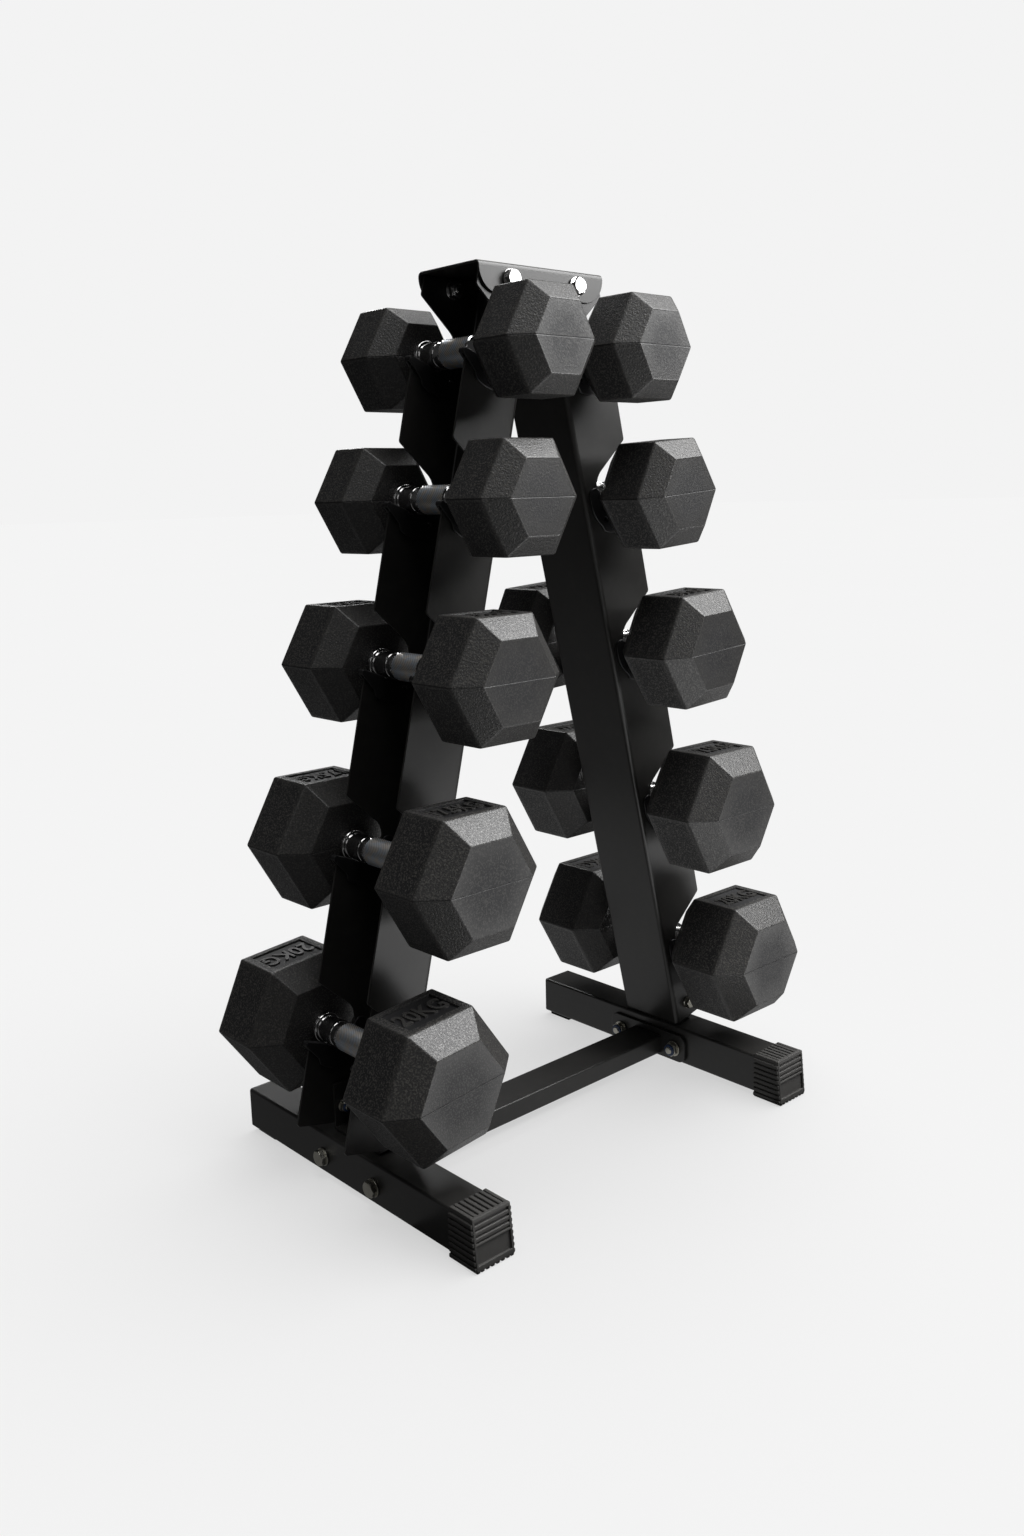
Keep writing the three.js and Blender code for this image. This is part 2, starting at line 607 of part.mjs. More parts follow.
for (const [sideName, side] of SIDES) {
  addPart(`base_rail_${sideName}`, baseRail(side), COATED_STEEL);
  addPart(`front_cap_${sideName}`, frontCap(side), RUBBER);
  addPart(`upright_${sideName}`, upright(side), COATED_STEEL);
  DUMBBELLS.forEach((spec, tier) => {
    const label = `${sideName}_${tier + 1}`;
    const centre = handleCentre(side, tier);
    addPart(`saddle_${label}`, saddle(side, tier), SADDLE_PLASTIC);
    addPart(`dumbbell_bar_${label}`, handleAndCores(spec, centre), CHROME);
    for (const [endName, end] of ENDS) {
      addPart(`dumbbell_rubber_${label}_${endName}`, rubberCover(spec, end, centre), RUBBER);
    }
  });
  const tubeIn = side * (TUBE_OUTER_X - TUBE_SIZE - GAP - END_PLATE_THICKNESS);
  const tubeOut = side * TUBE_OUTER_X;
  const bracketFace = CHANNEL_WIDTH / 2 + GAP + BRACKET_SHEET;
  const flangeFace = CHANNEL_WIDTH / 2;
  const flangeInside = CHANNEL_WIDTH / 2 - SHEET;
  const tabInside = flangeInside - GAP - TAB_SHEET;
  for (const [endName, end] of ENDS) {
    const baseAt = { y: end * BASE_BOLT.y, z: BASE_BOLT.z };
    const topAt = { x: side * TOP_BOLT.x, z: TOP_BOLT.z };
    const footAt = { x: side * FOOT_BOLT.x, z: FOOT_BOLT.z };
    const slack = GAP / 2;
    const base = bolt("X", tubeOut + side * slack, tubeIn - side * slack, baseAt, M10);
    const top = bolt("Y", end * (bracketFace + slack), end * (flangeInside - slack), topAt, M10);
    const foot = bolt("Y", end * (flangeFace + slack), end * (tabInside - slack), footAt, M8);
    addPart(`base_bolt_${sideName}_${endName}`, base, ZINC);
    addPart(`top_bolt_${sideName}_${endName}`, top, CHROME);
    addPart(`foot_bolt_${sideName}_${endName}`, foot, ZINC);
  }
}
addPart("crossbar", crossbar(), COATED_STEEL);
addPart("top_bracket", topBracket(), COATED_STEEL);

export default group;
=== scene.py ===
# %% [markdown]
# # An A-frame dumbbell rack
# The rack is two folded steel channels that lean together over two square base tubes.
# Plastic saddles line notches in the channels, and a rubber hex dumbbell lies in each saddle.
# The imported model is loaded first. It fixes every size and place, and the pieces made below
# are finer versions of its parts, each riding on the same moving body as the part it stands for.

# %% Load the frame
import json
import math

import bpy
import numpy as np
from mathutils import Matrix, Vector
from mathutils.geometry import tessellate_polygon

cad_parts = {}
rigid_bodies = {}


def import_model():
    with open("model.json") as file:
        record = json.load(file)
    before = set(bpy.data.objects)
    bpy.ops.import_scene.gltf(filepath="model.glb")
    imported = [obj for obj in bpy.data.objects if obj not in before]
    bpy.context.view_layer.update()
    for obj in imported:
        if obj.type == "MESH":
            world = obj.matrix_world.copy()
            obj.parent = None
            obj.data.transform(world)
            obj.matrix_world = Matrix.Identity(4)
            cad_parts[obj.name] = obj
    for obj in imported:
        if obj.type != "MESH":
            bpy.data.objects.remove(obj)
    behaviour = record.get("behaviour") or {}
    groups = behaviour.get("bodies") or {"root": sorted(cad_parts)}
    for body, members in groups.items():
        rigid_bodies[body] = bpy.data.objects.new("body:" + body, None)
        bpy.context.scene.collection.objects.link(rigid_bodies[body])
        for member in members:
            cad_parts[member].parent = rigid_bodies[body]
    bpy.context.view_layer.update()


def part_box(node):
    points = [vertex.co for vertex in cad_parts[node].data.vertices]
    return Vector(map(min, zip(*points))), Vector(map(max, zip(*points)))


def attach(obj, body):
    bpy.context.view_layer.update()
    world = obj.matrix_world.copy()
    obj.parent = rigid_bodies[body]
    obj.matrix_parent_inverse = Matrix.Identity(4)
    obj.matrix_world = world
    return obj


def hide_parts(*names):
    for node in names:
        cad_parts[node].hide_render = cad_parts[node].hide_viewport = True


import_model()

MM = 0.001


def node_box(name):
    """Low and high corner of a CAD part, in millimetres, as one 2 by 3 array."""
    return np.array([list(corner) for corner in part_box(name)]) / MM


# %% [markdown]
# ## Where the dumbbells lie
# The handle is in the middle of its own bar's box, and the head's flats and corners give the
# hexagon's size. Reading them from the frame keeps the fine pieces on the coarse ones.

# %% Places of the dumbbells
MARKED_WEIGHTS = ["20", "17.5", "15", "12.5", "10"]  # tier 1, the lowest, to tier 5
SIDES = {"left": -1, "right": 1}
ENDS = {"front": -1, "back": 1}
DUMBBELLS = [(side, tier) for side in SIDES for tier in range(1, 6)]
MID_Y = float(node_box("dumbbell_bar_left_1")[:, 1].mean())
GRIP_HALF = 64.3  # inner face of a head from the handle's middle
SHOULDER = 89.3  # where the inner chamfer reaches the full hexagon
FACE_RATIO = 0.66  # end face against the full hexagon
CHAMFER = {1: 25, 2: 24, 3: 21, 4: 20, 5: 20}  # length of a head's outer chamfer, per tier


def handle_centre(side, tier):
    """Middle of the handle: the middle of the bar's box in x and z."""
    box = node_box(f"dumbbell_bar_{side}_{tier}")
    return box[:, 0].mean(), box[:, 2].mean()


def head_size(side, tier):
    """Distance across the flats, and how far the head reaches from the handle's middle."""
    box = node_box(f"dumbbell_rubber_{side}_{tier}_back")
    return box[1, 2] - box[0, 2], box[1, 1] - MID_Y


print({tier: head_size("left", tier) for tier in range(1, 6)})

# %% [markdown]
# ## Making a mesh from arrays
# A piece is one or more shells. Each shell is worked out as an array of points in millimetres
# and a list of faces, and the shells are joined only when the object is made. A shell whose
# volume comes out negative was wound inside out, so its faces are turned round.


# %% From arrays to an object
def signed_volume(points, faces):
    """Sum over the faces of the tetrahedra they make with the origin, fan by fan."""
    total = 0.0
    by_size = {}
    for face in faces:
        by_size.setdefault(len(face), []).append(face)
    for count, group in by_size.items():
        corners = points[np.array(group)]
        for k in range(1, count - 1):
            cross = np.cross(corners[:, k], corners[:, k + 1])
            total += float((corners[:, 0] * cross).sum()) / 6
    return total


def outward(shell):
    """The shell with its faces turned round if its volume comes out negative."""
    points, faces = shell
    if signed_volume(points, faces) < 0:
        faces = [tuple(reversed(face)) for face in faces]
    return points, faces


# %% One object from its shells
def piece(name, shells, body, stands_for=(), smooth=35, attributes=None):
    """Joins the shells, scales them to metres and rides them on a body of the frame."""
    shells = [outward(shell) for shell in shells]
    starts = np.cumsum([0] + [len(points) for points, _ in shells])
    points = np.concatenate([points for points, _ in shells]) * MM
    faces = []
    for start, (_, shell_faces) in zip(starts, shells):
        faces += [tuple(int(i) + int(start) for i in face) for face in shell_faces]
    mesh = bpy.data.meshes.new(name)
    mesh.from_pydata(points.tolist(), [], faces)
    mesh.validate()
    for key, values in (attributes or {}).items():
        layer = mesh.attributes.new(key, "FLOAT", "POINT")
        layer.data.foreach_set("value", np.asarray(values, dtype=np.float32))
    mesh.shade_smooth()
    mesh.set_sharp_from_angle(angle=math.radians(smooth))
    obj = bpy.data.objects.new(name, mesh)
    bpy.context.scene.collection.objects.link(obj)
    weighted = obj.modifiers.new("flat faces first", "WEIGHTED_NORMAL")
    weighted.keep_sharp = True
    weighted.weight = 100
    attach(obj, body)
    if stands_for:
        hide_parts(*stands_for)
    return obj


# %% [markdown]
# ## Two shapes that make everything
# Almost every part of the rack is either a ring of points carried along a path (tubes, heads,
# bolts, handles) or a flat outline with thickness and slightly rounded rims (flanges, plates,
# saddle cheeks). So there is one function for each.


# %% Rings carried along a path
def points_of(*parts):
    """Points from their coordinates, each an array or one number for all of them."""
    return np.stack(np.broadcast_arrays(*parts), axis=-1)


def loft(rings, caps=True, wrap=False):
    """Faces between each ring and the next. rings is stations by points by 3.

    caps closes the first and last ring with a flat face; wrap joins the last ring to the
    first instead, which makes a tube with a wall."""
    rings = np.asarray(rings, dtype=float)
    stations, count = rings.shape[:2]
    i = np.arange(stations if wrap else stations - 1)[:, None]
    j = np.arange(count)
    here, following, beside = i * count, (i + 1) % stations * count, (j + 1) % count
    quads = points_of(here + j, here + beside, following + beside, following + j)
    faces = [tuple(q) for q in quads.reshape(-1, 4).tolist()]
    if caps and not wrap:
        faces.append(tuple(range(count))[::-1])
        faces.append(tuple(range((stations - 1) * count, stations * count)))
    return rings.reshape(-1, 3), faces


# %% Rounded outlines
def rounded_rect(width, height, radius, steps=4):
    """Outline of a rectangle whose corners are quarter circles, centred on the origin."""
    corners = np.array([[1, 1], [-1, 1], [-1, -1], [1, -1]])
    centres = corners * (np.array([width, height]) / 2 - radius)
    turn = np.linspace(0, np.pi / 2, steps + 1)[None, :] + np.arange(4)[:, None] * np.pi / 2
    arcs = points_of(np.cos(turn), np.sin(turn)) * radius
    return (centres[:, None, :] + arcs).reshape(-1, 2)


def fillet(corners, radii, steps=3):
    """An open polyline with its inner corners rounded.

    At each corner the arc starts radius * tan(half the turn) before it and ends as far after,
    and its centre lies on the bisector."""
    corners = [np.asarray(c, dtype=float) for c in corners]
    line = [corners[0]]
    for before, corner, after, radius in zip(corners, corners[1:], corners[2:], radii):
        into = (corner - before) / np.linalg.norm(corner - before)
        out = (after - corner) / np.linalg.norm(after - corner)
        turn = math.acos(float(np.clip(into @ out, -1, 1)))
        if radius <= 0 or turn < 1e-3:
            line.append(corner)
            continue
        start = corner - into * radius * math.tan(turn / 2)
        side = np.sign(into[0] * out[1] - into[1] * out[0])
        normal = np.array([-into[1], into[0]]) * side
        centre = start + normal * radius
        angles = np.linspace(0, turn, steps + 1)[:, None]
        line += list(centre - normal * np.cos(angles) * radius + into * np.sin(angles) * radius)
    line.append(corners[-1])
    return np.array(line)


# %% [markdown]
# The plate's rims are rounded because a real cut edge is never razor sharp, and that thin
# rounding is what catches the light along every flange and saddle.


# %% Arcs
def arc(cx, cy, radius, start, end, steps=10):
    """Points on a circle's arc, angles in degrees."""
    a = np.radians(np.linspace(start, end, steps + 1))
    return points_of(cx + radius * np.cos(a), cy + radius * np.sin(a))


# %% Working on closed outlines
def tidy_loop(loop):
    """The loop without points that repeat the one before."""
    loop = np.asarray(loop, dtype=float)
    far = np.linalg.norm(loop - np.roll(loop, 1, axis=0), axis=1) > 0.02
    return loop[far]


def inset(loop, distance):
    """Each point moved along the bisector of its two sides, by distance on each side."""
    ahead = np.roll(loop, -1, axis=0) - loop
    ahead /= np.linalg.norm(ahead, axis=1, keepdims=True)
    normal = points_of(-ahead[:, 1], ahead[:, 0])
    behind = np.roll(normal, 1, axis=0)
    bisector = (normal + behind) / (1 + (normal * behind).sum(axis=1, keepdims=True)).clip(0.4)
    return loop + bisector * distance


def area(loop):
    x, y = loop.T
    return float((x * np.roll(y, -1) - np.roll(x, -1) * y).sum() / 2)


# %% Flat outlines with thickness
def plate(outline, low, high, rim=0.5, holes=(), steps=2):
    """An outline in (u, w) with thickness from low to high along v, as points (u, v, w).

    The rim is a quarter circle: inset rim * (1 - sin t) at depth rim * (1 - cos t)."""
    loops = []
    for k, loop in enumerate([outline, *holes]):
        loop = tidy_loop(loop)
        anticlockwise = area(loop) > 0
        loops.append(loop if anticlockwise == (k == 0) else loop[::-1])
    t = np.linspace(0, np.pi / 2, steps + 1)
    insets = rim * (1 - np.sin(t))
    depths = rim * (1 - np.cos(t))
    levels = [(i, low + d) for i, d in zip(insets, depths)]
    levels += [(i, high - d) for i, d in zip(insets[::-1], depths[::-1])]
    points, faces, first, last = [], [], [], []
    start = 0
    for loop in loops:
        rings = []
        for distance, v in levels:
            ring = inset(loop, distance)
            rings.append(points_of(ring[:, 0], v, ring[:, 1]))
        ring_points, ring_faces = loft(rings, caps=False)
        faces += [tuple(i + start for i in face) for face in ring_faces]
        points.append(ring_points)
        count = len(loop)
        first.append(np.arange(count) + start)
        last.append(np.arange(count) + start + (len(levels) - 1) * count)
        start += len(ring_points)
    points = np.concatenate(points)
    for ends, turn in ((first, False), (last, True)):
        flat = np.concatenate(ends)
        lines = [[Vector((points[i][0], points[i][2], 0)) for i in end] for end in ends]
        for a, b, c in tessellate_polygon(lines):
            face = (int(flat[a]), int(flat[b]), int(flat[c]))
            corners = points[list(face)][:, [0, 2]]
            if (area(corners) > 0) == turn:
                face = face[::-1]
            faces.append(face)
    return points, faces


# %% Moving and turning a shell
def moved(shell, offset):
    points, faces = shell
    return points + np.asarray(offset, dtype=float), faces


def plate_across(outline, low, high, rim):
    """A plate square to X: its outline is in (y, z) and it is thick from low to high in x."""
    points, faces = plate(outline, low, high, rim)
    return points[:, (1, 0, 2)], faces


# %% [markdown]
# ## Shader maths in plain Python
# A procedural finish is mostly arithmetic on noise. The class below wraps a socket, so that
# `1 - mask * 0.5` adds the Math nodes it stands for, and one method adds any other node.


# %% Sockets that add, multiply and subtract
class Wire:
    """An output socket that can be used in an expression."""

    def __init__(self, sheet, socket):
        self.sheet = sheet
        self.socket = socket

    def _maths(self, operation, a, b):
        return self.sheet.add("ShaderNodeMath", {"operation": operation}, {0: a, 1: b})

    def __add__(self, other):
        return self._maths("ADD", self, other)

    __radd__ = __add__

    def __mul__(self, other):
        return self._maths("MULTIPLY", self, other)

    __rmul__ = __mul__

    def __sub__(self, other):
        return self._maths("SUBTRACT", self, other)

    def __rsub__(self, other):
        return self._maths("SUBTRACT", other, self)

    def __abs__(self):
        return self._maths("ABSOLUTE", self, 0.0)


# %% A finish and its nodes
class Finish:
    """A material being drawn: its node tree, its Principled shader and its coordinates."""

    def __init__(self, name, **constants):
        self.material = bpy.data.materials.new(name)
        self.material.use_nodes = True
        self.tree = self.material.node_tree
        self.shader = self.tree.nodes["Principled BSDF"]
        for socket, value in constants.items():
            self.shader.inputs[socket.replace("_", " ")].default_value = value
        self.place = self.add("ShaderNodeTexCoord", {}, {}, output="Object")

    def add(self, kind, settings, inputs, output=0):
        """Adds a node, sets what settings names, then fills its sockets with values or wires."""
        node = self.tree.nodes.new(kind)
        for key, value in settings.items():
            if key == "stops":
                for element, (position, shade) in zip(node.color_ramp.elements, value):
                    element.position = position
                    element.color = (shade, shade, shade, 1)
            else:
                setattr(node, key, value)
        for key, value in inputs.items():
            if isinstance(value, Wire):
                self.tree.links.new(value.socket, node.inputs[key])
            else:
                node.inputs[key].default_value = value
        return Wire(self, node.outputs[output])

    def noise(self, size_mm, detail=2.0, roughness=0.5):
        """Noise whose blobs are about size_mm across, in 0 to 1."""
        inputs = {"Vector": self.place, "Scale": 1000 / size_mm}
        inputs.update({"Detail": detail, "Roughness": roughness})
        return self.add("ShaderNodeTexNoise", {}, inputs)

    def attribute(self, name):
        """A number that the mesh carries at each of its points."""
        return self.add("ShaderNodeAttribute", {"attribute_name": name}, {}, output="Fac")

    def ramp(self, value, low, high):
        """0 up to low, 1 from high on, and a straight slope between them."""
        stops = [(low, 0.0), (high, 1.0)]
        return self.add("ShaderNodeValToRGB", {"stops": stops}, {"Fac": value})

    def blend(self, factor, a, b):
        """A colour between a and b, each a tuple of three numbers or a wire."""
        a, b = ((*c, 1) if isinstance(c, tuple) else c for c in (a, b))
        return self.add("ShaderNodeMix", {"data_type": "RGBA"}, {0: factor, 6: a, 7: b}, output=2)

    def bump(self, height, depth_mm, strength=1.0, over=None):
        inputs = {"Height": height, "Distance": depth_mm * MM, "Strength": strength}
        if over is not None:
            inputs["Normal"] = over
        return self.add("ShaderNodeBump", {}, inputs, output="Normal")

    def feed(self, socket, wire):
        self.tree.links.new(wire.socket, self.shader.inputs[socket])


def paint(obj, finish):
    """Gives the whole object one finish."""
    obj.data.materials.clear()
    obj.data.materials.append(finish.material)


# %% [markdown]
# ## Black powder coat
# The steel is powder coated: a satin black with the faint orange peel of a coat that flowed
# when it was baked. Broad noise varies the gloss a little, and fine noise gives the peel.


# %% Powder-coated steel
def powder_coat():
    """Peel and tooth go into the bump, cloud and tooth into the gloss, dust into the colour."""
    f = Finish("satin black powder coat", Specular_IOR_Level=0.5)
    cloud = f.noise(90, 3)
    peel = f.noise(2.2, 2)
    tooth = f.noise(0.8, 1)
    dust = f.ramp(f.noise(14, 6, 0.7), 0.5, 0.78)
    base = f.blend(cloud, (0.015, 0.0146, 0.014), (0.024, 0.0233, 0.022))
    f.feed("Base Color", f.blend(dust * 0.35, base, (0.04, 0.038, 0.035)))
    f.feed("Roughness", cloud * 0.08 + tooth * 0.05 + 0.27)
    f.feed("Normal", f.bump(peel + tooth * 0.5, 0.05, 0.55))
    return f


POWDER_COAT = powder_coat()

# %% [markdown]
# ## Rubber of the heads
# The heads are cast in a sand-blasted mould, so the rubber has a pebbled grain that sparkles
# where light grazes it, and pale specks on the grit's tops are a painted sparkle. The mould
# closes along the head's middle and leaves a thin line. The rounded edges are rubbed smoother
# and painted paler than the faces, partly as wear and partly as a painted highlight, and the
# panel's rim and the numerals are painted paler as a painted highlight. The mesh carries these
# places as attributes: `drop` is the height over the mould line in millimetres, and `edge`
# is 1 on a rounding and on the panel's rim and 2 on the numerals. `plain` is 1 on the end face
# and 1.6 in the panel and on its numerals, where the mould was left smoother.


# %% Head rubber
def head_rubber():
    """Pebbles and grit in the bump, pale specks of painted sparkle where grit stands high,
    edges painted paler for wear and as a painted highlight, and a seam.
    """
    f = Finish("grained black rubber", Specular_IOR_Level=0.5)
    drop, edge, plain = f.attribute("drop"), f.attribute("edge"), f.attribute("plain")
    coarse = 1.0 - 0.6 * plain
    pebble = f.noise(2.4, 2, 0.6)
    grit = f.noise(1.8, 1, 0.5)
    bloom = f.noise(45, 4, 0.6)
    scuff = f.ramp(f.noise(9, 8, 0.75), 0.55, 0.75)
    # pale specks on the grit's tops are a painted sparkle, a painted highlight in the colour
    painted_sparkle = coarse * f.ramp(grit, 0.5, 0.64)
    seam = f.add(
        "ShaderNodeMapRange",
        {"interpolation_type": "SMOOTHSTEP"},
        {"Value": abs(drop), "From Min": 0.15, "From Max": 0.75, "To Min": 1.0, "To Max": 0.0},
    )
    body = f.blend(bloom, (0.0035, 0.0035, 0.0042), (0.008, 0.008, 0.0092))
    grained = f.blend(painted_sparkle * 0.8, body, (0.075, 0.072, 0.066))
    # roundings, the panel's rim and the numerals are painted paler: partly wear, partly a painted
    # highlight; the scuffs are wear
    wear_and_painted_highlight = f.blend(edge * 0.3 + scuff * 0.16, grained, (0.06, 0.058, 0.055))
    f.feed("Base Color", f.blend(seam * 0.7, wear_and_painted_highlight, (0.006, 0.006, 0.006)))
    f.feed("Roughness", 0.5 + bloom * 0.12 - painted_sparkle * 0.14 - edge * 0.14)
    grain = f.bump(coarse * (pebble + grit * 0.6), 0.45, 0.9)
    f.feed("Normal", f.bump(seam * -1.0, 0.4, 0.8, over=grain))
    return f


HEAD_RUBBER = head_rubber()

# %% [markdown]
# ## Chrome, zinc, plastic and the caps' rubber
# The grips and top bolts are chromed, the base bolts are plain zinc with its faint yellow
# cast, the saddles are smooth moulded nylon, and the ribbed caps are matt rubber.


# %% Bright metal
def chrome():
    f = Finish("polished chrome", Metallic=1.0)
    haze = f.noise(6, 4, 0.6)
    streak = f.noise(1.5, 2)
    f.feed("Base Color", f.blend(haze, (0.62, 0.61, 0.6), (0.78, 0.78, 0.79)))
    f.feed("Roughness", haze * 0.08 + streak * 0.04 + 0.07)
    f.feed("Normal", f.bump(streak, 0.01, 0.2))
    return f


def knurled_steel():
    f = Finish("knurled chrome", Metallic=1.0)
    dirt = f.noise(5, 5, 0.7)
    valley = f.attribute("valley")
    # warm and cool patches in the steel's colour are a painted reflection of coloured surroundings
    painted_reflection_mask = f.ramp(f.noise(9, 2), 0.4, 0.6)
    painted_reflection_tint = f.blend(painted_reflection_mask, (0.86, 0.81, 0.75), (0.74, 0.8, 0.88))
    # the knurl's valleys are painted darker as painted shade, and the dirt noise adds a little
    # random dirt
    f.feed("Base Color", f.blend(valley * 0.45 + dirt * 0.1, painted_reflection_tint, (0.05, 0.047, 0.045)))
    f.feed("Roughness", dirt * 0.12 + valley * 0.12 + 0.36)
    return f


def zinc():
    f = Finish("yellowed zinc", Metallic=1.0)
    spangle = f.noise(2.5, 4, 0.65)
    stain = f.noise(7, 3)
    f.feed("Base Color", f.blend(stain, (0.36, 0.345, 0.29), (0.56, 0.55, 0.5)))
    f.feed("Roughness", spangle * 0.2 + 0.2)
    f.feed("Normal", f.bump(spangle, 0.03, 0.4))
    return f


# %% Plastic and cap rubber
def saddle_nylon():
    f = Finish("black nylon", Specular_IOR_Level=0.5)
    flow = f.noise(20, 3)
    skin = f.noise(0.7, 2)
    f.feed("Base Color", f.blend(flow, (0.007, 0.007, 0.0075), (0.012, 0.012, 0.0125)))
    f.feed("Roughness", flow * 0.1 + skin * 0.05 + 0.27)
    f.feed("Normal", f.bump(skin, 0.02, 0.3))
    return f


def cap_rubber():
    f = Finish("matt cap rubber", Specular_IOR_Level=0.45)
    flow = f.noise(12, 4)
    grain = f.noise(0.9, 2)
    dust = f.ramp(f.noise(5, 6, 0.7), 0.52, 0.8)
    base = f.blend(flow, (0.034, 0.033, 0.0315), (0.048, 0.0465, 0.044))
    f.feed("Base Color", f.blend(dust * 0.4, base, (0.06, 0.058, 0.053)))
    f.feed("Roughness", flow * 0.12 + grain * 0.08 + 0.5)
    f.feed("Normal", f.bump(grain, 0.06, 0.5))
    return f


def lock_insert():
    f = Finish("blue nylon insert", Specular_IOR_Level=0.5)
    flow = f.noise(3, 3)
    f.feed("Base Color", f.blend(flow, (0.012, 0.03, 0.08), (0.018, 0.045, 0.12)))
    f.feed("Roughness", flow * 0.1 + 0.35)
    return f


CHROME, KNURL, ZINC = chrome(), knurled_steel(), zinc()
NYLON, CAP_RUBBER, LOCK_BLUE = saddle_nylon(), cap_rubber(), lock_insert()
print("finishes:", len(bpy.data.materials))

# %% [markdown]
# ## A hexagonal head
# Cut across, a head is a hexagon with flats up and rounded corners. Along its length the
# hexagon grows over the inner chamfer, runs straight, and shrinks over the outer one. So the
# surface is a rounded hexagon whose apothem follows a filleted profile. The top flat has a
# sunken panel that holds the weight in raised numerals.

# %% Cross-section of a head
EDGE_RADIUS = 2.6
CORNER_STEPS = 4
FLAT_STOPS = np.array([0.05, 0.085, 0.1, 0.112, 0.5, 0.888, 0.9, 0.915, 0.95])
PER_SIDE = CORNER_STEPS + 1 + len(FLAT_STOPS)
TOP_FLAT = PER_SIDE + CORNER_STEPS + 1  # first point along the flat that faces up
PANEL_DEPTH = 2.0
PANEL_MARGIN = 8.0
PANEL_ROWS = np.array([-0.9, 0.0, 0.7])  # outside its rim, on it, and at the foot of its wall


def hexagon(apothem, radius):
    """Rounded hexagons, one per entry of apothem: corner arcs, then points along the flat.

    A hexagon of apothem a - r swept by a circle of radius r. Corner k is at 60 k degrees, and
    its arc turns from 60 k - 30 to 60 k + 30. Returns stations by points by 2."""
    apothem = np.asarray(apothem, dtype=float)[:, None, None]
    radius = np.minimum(np.asarray(radius, dtype=float)[:, None, None], apothem)
    corner = np.radians(60 * np.arange(6))[None, :, None]
    sweep = np.radians(np.linspace(-30, 30, CORNER_STEPS + 1))[None, None, :]
    reach = (apothem - radius) / math.cos(math.pi / 6)
    arcs = points_of(
        reach * np.cos(corner) + radius * np.cos(corner + sweep),
        reach * np.sin(corner) + radius * np.sin(corner + sweep),
    )
    leave = arcs[:, :, -1:, :]
    arrive = np.roll(arcs, -1, axis=1)[:, :, :1, :]
    along = leave + (arrive - leave) * FLAT_STOPS[None, None, :, None]
    return np.concatenate([arcs, along], axis=2).reshape(arcs.shape[0], -1, 2)


print("points around a head:", hexagon([50], [3]).shape[1])

# %% [markdown]
# The numerals are Blender's own plain typeface, turned into a mesh and laid in the panel.
# They read from the outer end of each head.


# %% Raised numerals
def numerals(text):
    """Mesh of a text, centred on the origin and scaled into a cube of side 1."""
    curve = bpy.data.curves.new("numerals", "FONT")
    curve.body = text
    curve.resolution_u = 3
    curve.extrude = 0.5
    curve.offset = 0.02
    holder = bpy.data.objects.new("numerals", curve)
    bpy.context.scene.collection.objects.link(holder)
    bpy.context.view_layer.update()
    drawn = holder.evaluated_get(bpy.context.evaluated_depsgraph_get()).to_mesh()
    points = np.empty(len(drawn.vertices) * 3)
    drawn.vertices.foreach_get("co", points)
    points = points.reshape(-1, 3)
    faces = [tuple(p.vertices) for p in drawn.polygons]
    bpy.data.objects.remove(holder)
    bpy.data.curves.remove(curve)
    low, high = points.min(axis=0), points.max(axis=0)
    return (points - (low + high) / 2) / (high - low), faces


NUMERALS = {tier: numerals(weight + "KG") for tier, weight in enumerate(MARKED_WEIGHTS, 1)}
print({tier: len(shape[1]) for tier, shape in NUMERALS.items()})

# %% [markdown]
# Each dumbbell sits in its saddle as it was put down, so some are rolled a few degrees about
# the handle, and their heads' edges don't line up from tier to tier.

# %% Rolled in the saddle
ROLL = {("left", 1): 5.3, ("right", 4): 4.3, ("right", 3): 3.5}


def rolled(points, side, tier, centre):
    """Turns points about the handle's axis, positive from +X towards +Z."""
    angle = math.radians(ROLL.get((side, tier), 0))
    x, z = points[:, 0] - centre[0], points[:, 2] - centre[1]
    turned = points.copy()
    turned[:, 0] = centre[0] + x * math.cos(angle) - z * math.sin(angle)
    turned[:, 2] = centre[1] + x * math.sin(angle) + z * math.cos(angle)
    return turned


# %% Profile and label of a head
NECK = 24.0  # anything thinner is the bore round the handle, and has no edges to wear
LABEL_SHARE = 0.72, 0.7  # of the flat's width, and of the panel's length
LABEL_THICK, LABEL_LIFT = 2.4, 0.6
OFF_SEAM = 30.0


def head_profile(across, reach, shoulder):
    """Distance from the handle's middle and apothem, from the inner end to the outer."""
    a, small = across / 2, across / 2 * FACE_RATIO
    corners = [(GRIP_HALF, 18.9), (GRIP_HALF, 23), (GRIP_HALF, small), (SHOULDER, a)]
    corners += [(shoulder, a), (reach, small), (reach, a * 0.3), (reach, 3)]
    return fillet(corners, [0, EDGE_RADIUS, EDGE_RADIUS * 2, EDGE_RADIUS * 2, EDGE_RADIUS, 0])


def panel_label(side, tier, end, panel, top):
    """The weight's numerals, lying in the panel on the flat that faces up."""
    across, _ = head_size(side, tier)
    points, faces = NUMERALS[tier]
    wide = across / math.sqrt(3) * LABEL_SHARE[0]
    deep = min((panel[1] - panel[0]) * LABEL_SHARE[1], wide * 0.42)
    points = points * np.array([wide, deep, LABEL_THICK]) * np.array([-end, -end, 1])
    middle = MID_Y + end * (panel[0] + panel[1]) / 2
    place = [handle_centre(side, tier)[0], middle, top - PANEL_DEPTH + LABEL_LIFT]
    return points + np.array(place), faces


